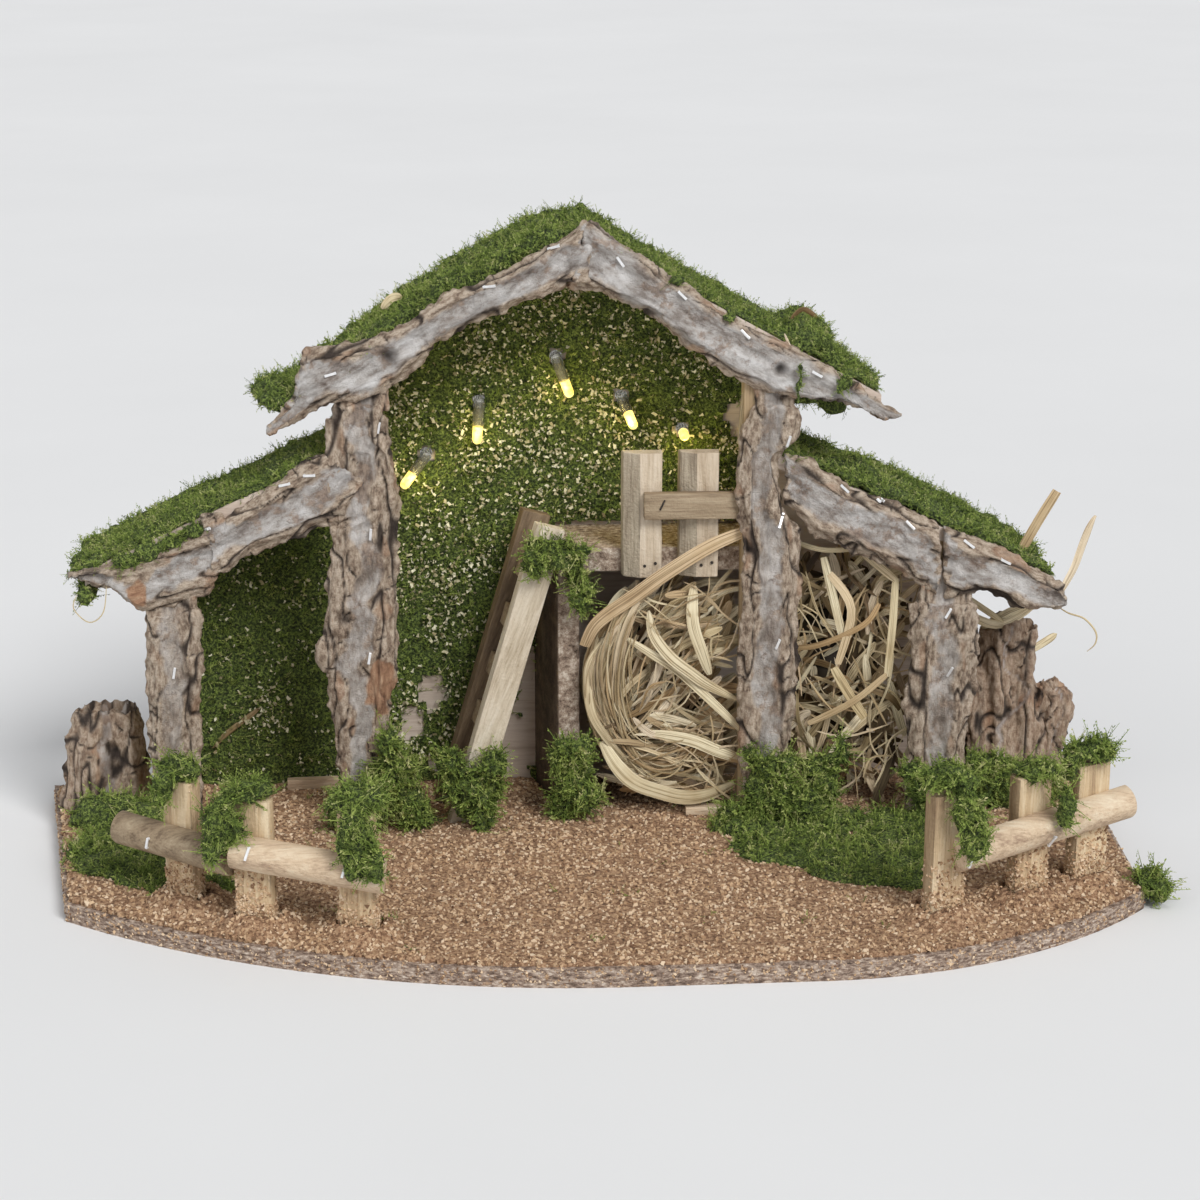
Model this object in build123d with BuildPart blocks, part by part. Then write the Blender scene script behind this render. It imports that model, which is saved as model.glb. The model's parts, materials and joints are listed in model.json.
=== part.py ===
from build123d import *
import math
import os

os.makedirs("parts", exist_ok=True)

# Nativity stable. +X is to the right, the front faces -Y, +Z is up, millimetres.
# The origin lies on the underside of the base, close to the middle of its outline.

# General clearances
overrun = 30.0
seat_gap = 0.3
foot_clearance = 0.3

# Base boards, half oval in plan
base_thickness = 9.0
base_rear_y = 119.0
base_front_y = -121.5
base_left_rear_x = -276.0
base_left_front_x = -251.0
base_left_shoulder_y = -36.0
base_right_rear_x = 253.0
base_right_front_x = 250.0
base_right_shoulder_y = -47.0
base_left_bow_shares = (0.51, 0.835)
base_flat_x = 95.0
base_flat_y = -119.5
base_right_bow_shares = (0.75, 0.782)
seam_y = -7.0
seam_gap = 0.4

# Dowels hidden in the seam
dowel_diameter = 5.0
dowel_length = 24.0
dowel_spacing = 150.0
dowel_count = 3
dowel_clearance = 0.1

# Nails driven up through the base
nail_shank = 2.2
nail_head = 5.0
nail_head_thickness = 1.2
nail_length = 26.0
nail_clearance = 0.1
nail_sides = 8

# Glued bark granules over the base
cover_thickness = 2.0
cover_margin = 1.5
heap_height = 6.0
heap_foot_radius = 24.0
heap_top_radius = 12.0
heap_sides = 10
ground_z = base_thickness + cover_thickness

# Plywood back wall
wall_setback = 2.0
wall_thickness = 4.0
wall_left_x = -213.0
wall_right_x = 185.0
wall_back_y = base_rear_y - wall_setback
wall_front_y = wall_back_y - wall_thickness

# Timber posts
building_depth = 59.0
frame_front_y = wall_front_y - building_depth
post_width = 15.0
post_depth = 14.0
post_back_y = frame_front_y + post_depth
post_mid_y = frame_front_y + post_depth / 2
main_post_left_x = -113.0
main_post_right_x = 77.0
outer_post_left_x = -205.0
outer_post_right_x = 168.0

# Roof boards
roof_thickness = 6.0
roof_depth = base_rear_y - frame_front_y
ridge_x = -6.0
ridge_z = 302.0
main_pitch = 29.0
main_left_eave_x = -150.0
main_right_eave_x = 135.0
lean_pitch = 25.0
lean_left_drop = 31.7
lean_left_eave_x = -246.0
lean_left_inner_x = main_post_left_x - post_width / 2
lean_right_drop = 49.0
lean_right_eave_x = 222.0
lean_right_inner_x = main_post_right_x + post_width / 2

# Bark strips: the drop is how far their middle line lies under the boards' top
bark_thickness = 8.0
barge_width = 20.0
barge_drop = 9.0
lean_bark_width = 24.0
lean_bark_drop = 7.0
post_bark_width = 30.0
left_notch_depth = 30.0
right_notch_depth = 25.0
outer_bark_stop = 26.0

# Staples
staple_crown = 6.5
staple_wire = 0.9
staple_lift = 0.3

# Loft
loft_floor_thickness = 12.0
loft_top_z = 146.0
loft_under_z = loft_top_z - loft_floor_thickness
partition_left_x = -19.5
partition_thickness = 11.0
partition_skew = 12.5
loft_post_height = 62.0
loft_post_drop = 13.0
loft_post_width = 20.0
loft_post_left_x = 21.5
loft_post_right_x = 49.0
loft_rail_height = 13.0
loft_rail_thickness = 5.0
loft_rail_z = 170.0
loft_rail_left_x = 22.0
loft_post_depth = post_depth - loft_rail_thickness
brad_diameter = 1.6
brad_lift = 0.4

# Ladder, leaning on the end of the loft
ladder_lean = 17.0
ladder_rail_width = 14.5
ladder_rail_thickness = 7.0
ladder_top_overhang = 10.4
ladder_front_overhang = 6.0
rung_length = 21.0
rung_height = 11.0
rung_thickness = 6.0
rung_count = 5
rung_first = 24.0
rung_pitch = 26.0
rung_seat = 0.1

# Front fences
stake_width = 19.0
stake_depth = 12.0
stake_height = 62.0
fence_rail_height = 16.0
fence_rail_depth = 9.0
left_fence_outer_x = -197.0
left_fence_outer_y = -45.0
left_fence_outer_angle = -38.0
left_fence_middle_x = -161.0
left_fence_middle_y = -73.0
left_fence_inner_angle = -16.0
left_fence_inner_step = 48.0
left_outer_rail_length = 68.0
left_rail_joint_gap = 3.3
left_outer_rail_z = 42.0
left_inner_rail_length = 71.0
left_inner_rail_back = 9.0
left_inner_rail_z = 48.0
left_inner_rail_fall = 6.0
right_fence_x = 151.0
right_fence_y = -80.0
right_fence_angle = 26.0
right_fence_middle_step = 47.0
right_fence_outer_step = 81.0
right_rail_length = 97.0
right_rail_start = 3.0
right_rail_z = 42.0
right_rail_rise = 8.0

# Lamps
sleeve_diameter = 5.6
sleeve_bore = 3.8
sleeve_stub = 2.0
sleeve_bend = 4.5
sleeve_drop = 7.0
bulb_diameter = 5.0
bulb_length = 9.0
lamp_sides = 12
lamp_clearance = 0.2

# Bark stumps
stump_left_x = -245.0
stump_left_y = 86.0
stump_left_width = 46.0
stump_left_depth = 32.0
stump_left_height = 54.0
stump_right_x = 208.0
stump_right_y = 86.0
stump_right_width = 33.0
stump_right_depth = 26.0
stump_right_roof_gap = 24.0
chip_width = 17.0
chip_depth = 16.0
chip_height_share = 0.66
chip_gap = 0.4

# Straw
straw_gap = 0.6
nest_front_y = 62.0
nest_round = 16.0
bay_straw_front_y = 60.0
bay_straw_right_x = 158.0
bay_straw_drop = 22.0
stalk_diameter = 4.5
stalk_length = 40.0
stalk_x = 206.0
stalk_y = 96.0
stalk_tilt = 32.0
leaf_width = 6.0
leaf_thickness = 2.0
leaf_length = 46.0
leaf_tilt = 20.0
leaf_y = 92.0

# Loose wood on the ground
offcut_x = 53.0
offcut_length = 19.0
offcut_width = 7.0
offcut_thickness = 4.0
stick_x = -143.0
stick_y = 104.0
stick_length = 26.0
stick_thickness = 5.0
stick_angle = 4.0

# Moss
roof_moss = 9.0
roof_moss_overhang = 9.0
wall_moss = 2.5
ground_moss = 7.0
tuft_height = 32.0
tuft_length = 30.0
tuft_width = 9.0
loft_tuft_height = 22.0
loft_tuft_length = 19.0
loft_tuft_width = 8.0
cap_height = 8.0
cap_length = 26.0
cap_width = 19.0
rim_moss_length = 40.0
rim_moss_width = 15.0
rim_moss_height = 18.0


def upright(y):
    """Vertical plane facing the front, so that sketch points are X and Z."""
    return Plane(origin=(0, y, 0), x_dir=(1, 0, 0), z_dir=(0, -1, 0))


def slope(angle):
    return math.tan(math.radians(angle))


def along_slope(thickness, angle):
    """Upright height of a board of that thickness lying at the angle."""
    return thickness / math.cos(math.radians(angle))


def main_top(x):
    return ridge_z - abs(x - ridge_x) * slope(main_pitch)


def main_under(x):
    return main_top(x) - along_slope(roof_thickness, main_pitch)


# The lean-to boards start at a drop under the main boards' undersides
lean_left_top_z = main_under(lean_left_inner_x) - lean_left_drop
lean_right_top_z = main_under(lean_right_inner_x) - lean_right_drop


def lean_left_top(x):
    return lean_left_top_z - (lean_left_inner_x - x) * slope(lean_pitch)


def lean_left_under(x):
    return lean_left_top(x) - along_slope(roof_thickness, lean_pitch)


def lean_right_top(x):
    return lean_right_top_z - (x - lean_right_inner_x) * slope(lean_pitch)


def lean_right_under(x):
    return lean_right_top(x) - along_slope(roof_thickness, lean_pitch)


def save(builder, name):
    builder.part.label = name
    export_step(builder.part, "parts/" + name + ".step")


# Fence stakes: the middle of each flat front face in plan, and the way it faces
def fence_point(x, y, angle, step):
    turn = math.radians(angle)
    return (x + step * math.cos(turn), y + step * math.sin(turn))


left_outer = (left_fence_outer_x, left_fence_outer_y)
left_middle = (left_fence_middle_x, left_fence_middle_y)
left_inner = fence_point(*left_middle, left_fence_inner_angle, left_fence_inner_step)
right_inner = (right_fence_x, right_fence_y)
right_middle = fence_point(*right_inner, right_fence_angle, right_fence_middle_step)
right_outer = fence_point(*right_inner, right_fence_angle, right_fence_outer_step)
stakes = {
    "fence_left_stake_outer": (left_outer, left_fence_outer_angle),
    "fence_left_stake_middle": (left_middle, left_fence_inner_angle),
    "fence_left_stake_inner": (left_inner, left_fence_inner_angle),
    "fence_right_stake_inner": (right_inner, right_fence_angle),
    "fence_right_stake_middle": (right_middle, right_fence_angle),
    "fence_right_stake_outer": (right_outer, right_fence_angle),
}


def stake_plane(place, angle):
    """Plan plane on the base with X along the stake's flat face and Y behind it."""
    turn = math.radians(angle)
    return Plane(origin=(*place, base_thickness), x_dir=(math.cos(turn), math.sin(turn), 0))


# Posts: middle in X, and the underside of the roof that each one carries
posts = {
    "main_post_left": (main_post_left_x, main_under),
    "main_post_right": (main_post_right_x, main_under),
    "outer_post_left": (outer_post_left_x, lean_left_under),
    "outer_post_right": (outer_post_right_x, lean_right_under),
}

# Partition and ladder share a frame turned by the skew, at the partition's front left foot
skew = math.radians(partition_skew)
loft_frame = Plane(
    origin=(partition_left_x, post_back_y, base_thickness),
    x_dir=(math.cos(skew), math.sin(skew), 0),
)
partition_shift = (wall_front_y - post_back_y) * math.tan(skew)
partition_right_x = partition_left_x + partition_thickness

# Where the nails stand
post_nails = [(x, post_mid_y) for x, roof in posts.values()]
nail_setback = stake_depth / 3
stake_nails = [
    fence_point(*place, angle + 90, nail_setback) for place, angle in stakes.values()
]


# Base outline: straight back and ends, bowed front
with BuildLine() as base_outline:
    Polyline(
        (base_right_front_x, base_right_shoulder_y),
        (base_right_rear_x, base_rear_y),
        (base_left_rear_x, base_rear_y),
        (base_left_front_x, base_left_shoulder_y),
    )
    ThreePointArc(
        (base_left_front_x, base_left_shoulder_y),
        (base_left_front_x * base_left_bow_shares[0], base_front_y * base_left_bow_shares[1]),
        (0, base_front_y),
    )
    Line((0, base_front_y), (base_flat_x, base_flat_y))
    ThreePointArc(
        (base_flat_x, base_flat_y),
        (base_right_front_x * base_right_bow_shares[0], base_front_y * base_right_bow_shares[1]),
        (base_right_front_x, base_right_shoulder_y),
    )


def bore_for_dowels():
    for row in range(dowel_count):
        x = (row - (dowel_count - 1) / 2) * dowel_spacing
        with Locations(Plane(origin=(x, seam_y, base_thickness / 2), z_dir=(0, 1, 0))):
            Cylinder(
                dowel_diameter / 2 + dowel_clearance,
                dowel_length + dowel_clearance,
                mode=Mode.SUBTRACT,
            )


def nail_rod(place, radius, length, mode=Mode.ADD):
    """A rod up from the underside with few sides, for a nail or its bore."""
    with BuildSketch(Plane(origin=(*place, 0))) as outline:
        RegularPolygon(radius, nail_sides)
    extrude(outline.sketch, amount=length, mode=mode)


def bore_for_nails(places, depth):
    """Shank bores up from the underside, with room for each flat head."""
    for place in places:
        nail_rod(place, nail_shank / 2 + nail_clearance, depth, Mode.SUBTRACT)
        head_depth = nail_head_thickness + nail_clearance
        nail_rod(place, nail_head / 2 + nail_clearance, head_depth, Mode.SUBTRACT)


# Base boards
with BuildPart() as base_rear_board:
    with BuildSketch(Plane.XY):
        make_face(base_outline.edges())
    extrude(amount=base_thickness)
    split(bisect_by=Plane(origin=(0, seam_y + seam_gap / 2, 0), z_dir=(0, 1, 0)))
    bore_for_dowels()
    bore_for_nails(post_nails, base_thickness)
save(base_rear_board, "base_rear_board")

with BuildPart() as base_front_board:
    with BuildSketch(Plane.XY):
        make_face(base_outline.edges())
    extrude(amount=base_thickness)
    split(bisect_by=Plane(origin=(0, seam_y - seam_gap / 2, 0), z_dir=(0, -1, 0)))
    bore_for_dowels()
    bore_for_nails(stake_nails, base_thickness)
save(base_front_board, "base_front_board")

with BuildPart() as base_dowels:
    for row in range(dowel_count):
        x = (row - (dowel_count - 1) / 2) * dowel_spacing
        with Locations(Plane(origin=(x, seam_y, base_thickness / 2), z_dir=(0, 1, 0))):
            Cylinder(dowel_diameter / 2, dowel_length)
save(base_dowels, "base_dowels")

with BuildPart() as foot_nails:
    for place in post_nails + stake_nails:
        nail_rod(place, nail_shank / 2, nail_length)
        nail_rod(place, nail_head / 2, nail_head_thickness)
save(foot_nails, "foot_nails")

# Granules: a thin layer, heaped round the fence stakes, with openings round everything that stands
# on the boards
with BuildPart() as ground_cover:
    with BuildSketch(Plane.XY.offset(base_thickness)):
        make_face(base_outline.edges())
        offset(amount=-cover_margin)
        with BuildSketch(mode=Mode.SUBTRACT):
            for x, roof in posts.values():
                with Locations((x, post_mid_y)):
                    Rectangle(post_width + 2 * foot_clearance, post_depth + 2 * foot_clearance)
            Polygon(
                (partition_left_x - foot_clearance, post_back_y - foot_clearance),
                (partition_right_x + foot_clearance, post_back_y - foot_clearance),
                (partition_right_x - partition_shift + foot_clearance, wall_front_y),
                (partition_left_x - partition_shift - foot_clearance, wall_front_y),
            )
    extrude(amount=cover_thickness + heap_height)
    with BuildPart(mode=Mode.INTERSECT):
        with BuildSketch(Plane.XY.offset(base_thickness)):
            make_face(base_outline.edges())
        extrude(amount=cover_thickness)
        for place, angle in stakes.values():
            heap_x, heap_y = fence_point(*place, angle + 90, stake_depth / 2)
            for radius, height in (
                (heap_foot_radius, base_thickness),
                (heap_top_radius, ground_z + heap_height),
            ):
                with BuildSketch(Plane(origin=(heap_x, heap_y, height))):
                    RegularPolygon(radius, heap_sides)
            loft(ruled=True)
    for place, angle in stakes.values():
        with BuildSketch(stake_plane(place, angle)):
            with Locations((0, stake_depth / 2)):
                Rectangle(stake_width + 2 * foot_clearance, stake_depth + 2 * foot_clearance)
        extrude(amount=cover_thickness + heap_height, mode=Mode.SUBTRACT)
    split(
        bisect_by=Plane(origin=(0, wall_front_y - foot_clearance, 0), z_dir=(0, -1, 0))
    )
save(ground_cover, "ground_cover")

# Lamps, left to right: the place of each hole on the wall, between the main posts and above the
# loft, then the angles by which each sleeve swings sideways and droops
bay_width = main_post_right_x - main_post_left_x
gable_rise = ridge_z - loft_top_z
lamp_shares = [(0.16, 0.24), (0.30, 0.41), (0.50, 0.55), (0.67, 0.42), (0.83, 0.31)]
lamp_turns = [(-38.0, 80.0), (-4.0, 90.0), (20.0, 90.0), (24.0, 52.0), (0, 0)]
lamp_holes = [
    (main_post_left_x + bay_width * along, loft_top_z + gable_rise * up) for along, up in lamp_shares
]
lamps = list(zip(lamp_holes, lamp_turns))

# Back wall: its upper edges follow the undersides of the roof boards
wall_outline = [
    (wall_left_x, base_thickness),
    (wall_right_x, base_thickness),
    (wall_right_x, lean_right_under(wall_right_x)),
    (lean_right_inner_x, lean_right_under(lean_right_inner_x)),
    (lean_right_inner_x, main_under(lean_right_inner_x)),
    (ridge_x, main_under(ridge_x)),
    (lean_left_inner_x, main_under(lean_left_inner_x)),
    (lean_left_inner_x, lean_left_under(lean_left_inner_x)),
    (wall_left_x, lean_left_under(wall_left_x)),
]
with BuildPart() as back_wall:
    with BuildSketch(upright(wall_front_y)):
        Polygon(*wall_outline)
        with Locations(*lamp_holes):
            Circle(sleeve_diameter / 2 + lamp_clearance, mode=Mode.SUBTRACT)
    extrude(amount=-wall_thickness)
save(back_wall, "back_wall")

# Posts: battens cut to the slope that they carry
for name, (x, roof) in posts.items():
    left = x - post_width / 2
    right = x + post_width / 2
    with BuildPart() as post:
        with BuildSketch(upright(frame_front_y)):
            Polygon(
                (left, base_thickness),
                (right, base_thickness),
                (right, roof(right)),
                (left, roof(left)),
            )
        extrude(amount=-post_depth)
        bore_for_nails([(x, post_mid_y)], nail_length + nail_clearance)
    save(post, name)

# Roof boards: mitred at the ridge, the lower ones butted against the main posts
roof_boards = {
    "main_roof_left": (ridge_x, main_left_eave_x, main_top, main_under),
    "main_roof_right": (ridge_x, main_right_eave_x, main_top, main_under),
    "lean_roof_left": (lean_left_inner_x, lean_left_eave_x, lean_left_top, lean_left_under),
    "lean_roof_right": (lean_right_inner_x, lean_right_eave_x, lean_right_top, lean_right_under),
}
for name, (inner, eave, top, under) in roof_boards.items():
    with BuildPart() as board:
        with BuildSketch(upright(frame_front_y)):
            Polygon(
                (inner, top(inner)),
                (inner, under(inner)),
                (eave, under(eave)),
                (eave, top(eave)),
            )
        extrude(amount=-roof_depth)
    save(board, name)

# Bark strips. Each row of an outline gives one point on the upper (or left) edge and one on the
# lower (or right) edge, each as a share of the length along and of the width across.
barge_left_shares = [
    (-0.046, 0.68, 0.103, -0.42),
    (0.09, 0.59, 0.20, -0.27),
    (0.27, 0.61, 0.35, -0.10),
    (0.42, 0.78, 0.48, -0.06),
    (0.56, 0.62, 0.565, -0.34),
    (0.705, 0.88, 0.70, -0.54),
    (0.82, 1.34, 0.84, -0.13),
    (0.94, 0.40, 0.945, -0.08),
    (1.04, 0.10, 1.04, 0.0),
]
barge_right_shares = [
    (-0.035, 0.72, 0.0, -0.88),
    (0.136, 0.60, 0.086, -0.58),
    (0.31, 0.46, 0.21, -0.53),
    (0.49, 0.29, 0.36, -0.68),
    (0.65, 0.44, 0.53, -0.90),
    (0.75, 0.40, 0.66, -0.87),
    (0.83, 0.37, 0.76, -0.57),
    (0.94, 0.29, 0.865, -0.15),
    (1.05, 0.20, 1.0, -0.10),
]
# The main posts' rows count stretches: up to the notch for the lean-to strip, the notch itself,
# and on to the roof
main_post_left_row_shares = [
    (0.007, 0.37, 0.007, -0.13),
    (0.212, 0.50, 0.283, -0.27),
    (0.58, 0.67, 0.58, -0.53),
    (0.721, 0.60, 0.721, -0.53),
    (0.955, 0.47, 0.926, -0.57),
    (0.997, -0.10, 1.02, -0.57),
    (1.963, -0.10, 1.963, -0.53),
    (2.09, 0.45, 2.154, -0.40),
    (2.623, 0.43, 2.623, -0.37),
]
main_post_right_row_shares = [
    (0.007, 0.17, 0.007, -0.37),
    (0.312, 0.27, 0.372, -0.65),
    (0.574, 0.30, 0.574, -0.67),
    (0.826, 0.17, 0.922, -0.67),
    (0.997, 0.33, 1.0, -0.33),
    (1.744, 0.37, 2.013, -0.33),
    (2.194, 0.33, 2.149, -0.63),
    (2.461, 0.10, 2.425, -0.63),
]
outer_post_left_shares = [
    (0.01, 0.36, 0.01, -0.05),
    (0.366, 0.46, 0.379, -0.06),
    (0.488, 0.47, 0.488, -0.30),
    (0.611, 0.47, 0.611, -0.40),
    (0.922, 0.42, 0.959, -0.47),
]
outer_post_right_shares = [
    (0.01, 0.50, 0.01, -0.45),
    (0.295, 0.50, 0.344, -0.46),
    (0.516, 0.60, 0.516, -0.55),
    (0.762, 0.48, 0.737, -0.61),
    (0.965, 0.58, 0.965, -0.54),
]
lean_left_inner_shares = [
    (-0.03, -0.45, -0.002, -0.51),
    (-0.008, 0.25, 0.09, -0.92),
    (0.07, 0.46, 0.25, -0.93),
    (0.305, 0.22, 0.425, -0.78),
    (0.46, 0.05, 0.545, -0.91),
]
lean_left_outer_shares = [
    (0.475, 0.05, 0.56, -0.92),
    (0.545, 0.11, 0.64, -1.17),
    (0.70, 0.12, 0.833, -0.99),
    (0.805, 0.14, 0.875, -0.82),
    (0.90, 0.25, 0.92, -0.22),
    (1.02, 0.41, 1.025, 0.36),
]
lean_right_inner_shares = [
    (0.006, 0.36, 0.08, -0.55),
    (0.088, 0.44, 0.226, -0.94),
    (0.24, 0.25, 0.40, -0.88),
    (0.41, 0.39, 0.53, -0.88),
    (0.555, 0.32, 0.665, -1.06),
]
lean_right_outer_shares = [
    (0.575, 0.34, 0.685, -1.0),
    (0.77, 0.38, 0.79, -0.53),
    (0.90, 0.30, 0.92, -0.56),
    (1.0, 0.23, 1.025, -0.34),
    (1.045, 0.0, 1.05, -0.10),
]
# Section of a strip: a grey valley between two ridges, thinner at both edges
bark_section_shares = [(0.0, 0.45), (0.2, 1.0), (0.5, 0.70), (0.8, 0.92), (1.0, 0.40)]


def eave_line(inner, eave, top, drop):
    return ((inner, top(inner) - drop), (eave, top(eave) - drop))


def post_line(x, top_z):
    return ((x, ground_z), (x, top_z))


def height_share(count, heights):
    """Turns a count of stretches between heights into a share of the whole run."""
    step = min(int(count), len(heights) - 2)
    height = heights[step] + (heights[step + 1] - heights[step]) * (count - step)
    return (height - heights[0]) / (heights[-1] - heights[0])


def row_shares(rows, heights):
    return [
        (height_share(up, heights), side, height_share(low_up, heights), low_side)
        for up, side, low_up, low_side in rows
    ]


main_left_line = eave_line(ridge_x, main_left_eave_x, main_top, barge_drop)
main_right_line = eave_line(ridge_x, main_right_eave_x, main_top, barge_drop)
lean_left_line = eave_line(lean_left_inner_x, lean_left_eave_x, lean_left_top, lean_bark_drop)
lean_right_line = eave_line(lean_right_inner_x, lean_right_eave_x, lean_right_top, lean_bark_drop)

left_heights = (
    ground_z,
    lean_left_top_z - left_notch_depth,
    lean_left_top_z,
    main_under(main_post_left_x),
)
right_heights = (
    ground_z,
    lean_right_top_z - right_notch_depth,
    lean_right_top_z,
    main_under(main_post_right_x),
)
main_post_left_line = post_line(main_post_left_x, left_heights[-1])
main_post_right_line = post_line(main_post_right_x, right_heights[-1])
outer_post_left_line = post_line(
    outer_post_left_x, lean_left_under(outer_post_left_x) - outer_bark_stop
)
outer_post_right_line = post_line(
    outer_post_right_x, lean_right_under(outer_post_right_x) - outer_bark_stop
)
main_post_left_shares = row_shares(main_post_left_row_shares, left_heights)
main_post_right_shares = row_shares(main_post_right_row_shares, right_heights)

# Where the staples are, along and across each strip
barge_left_staple_shares = [(0.08, 0.28), (0.28, 0.25), (0.80, 0.45)]
barge_right_staple_shares = [(0.11, 0.25), (0.33, 0.05), (0.54, -0.2), (0.78, -0.05)]
main_post_left_staple_shares = [
    (height_share(2.37, left_heights), -0.1),
    (height_share(0.93, left_heights), -0.1),
    (height_share(0.55, left_heights), -0.05),
]
main_post_right_staple_shares = [
    (height_share(2.19, right_heights), -0.25),
    (height_share(0.95, right_heights), -0.2),
    (height_share(0.57, right_heights), -0.3),
]
outer_post_left_staple_shares = [(0.70, 0.0)]
outer_post_right_staple_shares = [(0.86, 0.0), (0.64, -0.05)]
lean_left_inner_staple_shares = [(0.12, -0.1), (0.22, -0.2)]
lean_left_outer_staple_shares = [(0.60, -0.25)]
lean_right_inner_staple_shares = [(0.23, -0.25), (0.38, -0.1), (0.50, -0.3)]
lean_right_outer_staple_shares = [(0.74, 0.0), (0.87, -0.05)]

# Each strip: its middle line, the width unit, the outline, its staples and their angle
bark_strips = {
    "bark_barge_main_left": (
        main_left_line, barge_width, barge_left_shares, barge_left_staple_shares, 15.0
    ),
    "bark_barge_main_right": (
        main_right_line, barge_width, barge_right_shares, barge_right_staple_shares, -34.0
    ),
    "bark_main_post_left": (
        main_post_left_line,
        post_bark_width,
        main_post_left_shares,
        main_post_left_staple_shares,
        82.0,
    ),
    "bark_main_post_right": (
        main_post_right_line,
        post_bark_width,
        main_post_right_shares,
        main_post_right_staple_shares,
        72.0,
    ),
    "bark_outer_post_left": (
        outer_post_left_line,
        post_bark_width,
        outer_post_left_shares,
        outer_post_left_staple_shares,
        90.0,
    ),
    "bark_outer_post_right": (
        outer_post_right_line,
        post_bark_width,
        outer_post_right_shares,
        outer_post_right_staple_shares,
        62.0,
    ),
    "bark_barge_lean_left_inner": (
        lean_left_line, lean_bark_width, lean_left_inner_shares, lean_left_inner_staple_shares, 10.0
    ),
    "bark_barge_lean_left_outer": (
        lean_left_line, lean_bark_width, lean_left_outer_shares, lean_left_outer_staple_shares, 20.0
    ),
    "bark_barge_lean_right_inner": (
        lean_right_line, lean_bark_width, lean_right_inner_shares, lean_right_inner_staple_shares, -35.0
    ),
    "bark_barge_lean_right_outer": (
        lean_right_line, lean_bark_width, lean_right_outer_shares, lean_right_outer_staple_shares, -32.0
    ),
}


def strip_axes(line):
    """Unit directions along a strip's middle line, and across it towards its upper or left edge."""
    (x0, z0), (x1, z1) = line
    length = math.hypot(x1 - x0, z1 - z0)
    along = ((x1 - x0) / length, (z1 - z0) / length)
    across = (-along[1], along[0])
    if across[1] < 0:
        across = (along[1], -along[0])
    return length, along, across


def strip_point(line, width, along_share, across_share):
    length, along, across = strip_axes(line)
    step = length * along_share
    side = width * across_share
    return (
        line[0][0] + along[0] * step + across[0] * side,
        line[0][1] + along[1] * step + across[1] * side,
    )


def surface_y(solid, x, z):
    """How far forward the solid's front reaches on a straight line from the front."""
    sight = Axis((x, frame_front_y - overrun, z), (0, 1, 0))
    hits = []
    for face in solid.faces():
        hits += [point.Y for point, normal in face.find_intersection_points(sight)]
    return min(hits, default=frame_front_y - bark_thickness)


staple_probe_shares = (-1.0, -0.5, 0.0, 0.5, 1.0)
staple_places = []
for name, (line, width, outline, staples, turn) in bark_strips.items():
    with BuildPart() as strip:
        for upper_along, upper_across, lower_along, lower_across in outline:
            low = strip_point(line, width, lower_along, lower_across)
            high = strip_point(line, width, upper_along, upper_across)
            span = math.dist(low, high)
            rise = ((high[0] - low[0]) / span, 0, (high[1] - low[1]) / span)
            row_plane = Plane(
                origin=(low[0], frame_front_y, low[1]),
                x_dir=rise,
                z_dir=Vector(*rise).cross(Vector(0, -1, 0)),
            )
            with BuildSketch(row_plane):
                Polygon(
                    (0, 0),
                    *[(span * side, bark_thickness * depth) for side, depth in bark_section_shares],
                    (span, 0),
                )
        loft(ruled=True)
    save(strip, name)
    reach = staple_crown / 2
    way = math.radians(turn)
    for along_share, across_share in staples:
        spot = strip_point(line, width, along_share, across_share)
        fronts = [
            surface_y(
                strip.part,
                spot[0] + reach * end_share * math.cos(way),
                spot[1] + reach * end_share * math.sin(way),
            )
            for end_share in staple_probe_shares
        ]
        staple_places.append((spot, way, fronts))

# Staples: a wire crown across the bark with a leg at each end
with BuildPart() as bark_staples:
    for spot, way, fronts in staple_places:
        crown_y = min(fronts) - staple_lift
        crown_plane = Plane(
            origin=(spot[0], crown_y, spot[1]),
            x_dir=(math.cos(way), 0, math.sin(way)),
            z_dir=(0, -1, 0),
        )
        with BuildSketch(crown_plane):
            Rectangle(staple_crown, staple_wire)
        extrude(amount=staple_wire)
        for end, front in ((-1, fronts[0]), (1, fronts[-1])):
            leg = front - staple_lift - crown_y
            if leg > staple_lift:
                with BuildSketch(crown_plane):
                    with Locations((end * (staple_crown - staple_wire) / 2, 0)):
                        Rectangle(staple_wire, staple_wire)
                extrude(amount=-leg)
save(bark_staples, "bark_staples")

# Loft: partition under one end of the floor, floor against the back of the right main post
with BuildPart() as loft_partition:
    with BuildSketch(Plane.XY.offset(base_thickness)):
        Polygon(
            (partition_left_x, post_back_y),
            (partition_right_x, post_back_y),
            (partition_right_x - partition_shift, wall_front_y),
            (partition_left_x - partition_shift, wall_front_y),
        )
    extrude(amount=loft_under_z - base_thickness)
save(loft_partition, "loft_partition")

with BuildPart() as loft_floor:
    with BuildSketch(Plane.XY.offset(loft_under_z)):
        Polygon(
            (partition_left_x, post_back_y),
            (main_post_right_x + post_width / 2, post_back_y),
            (main_post_right_x + post_width / 2, wall_front_y),
            (partition_left_x - partition_shift, wall_front_y),
        )
    extrude(amount=loft_floor_thickness)
save(loft_floor, "loft_floor")

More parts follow.
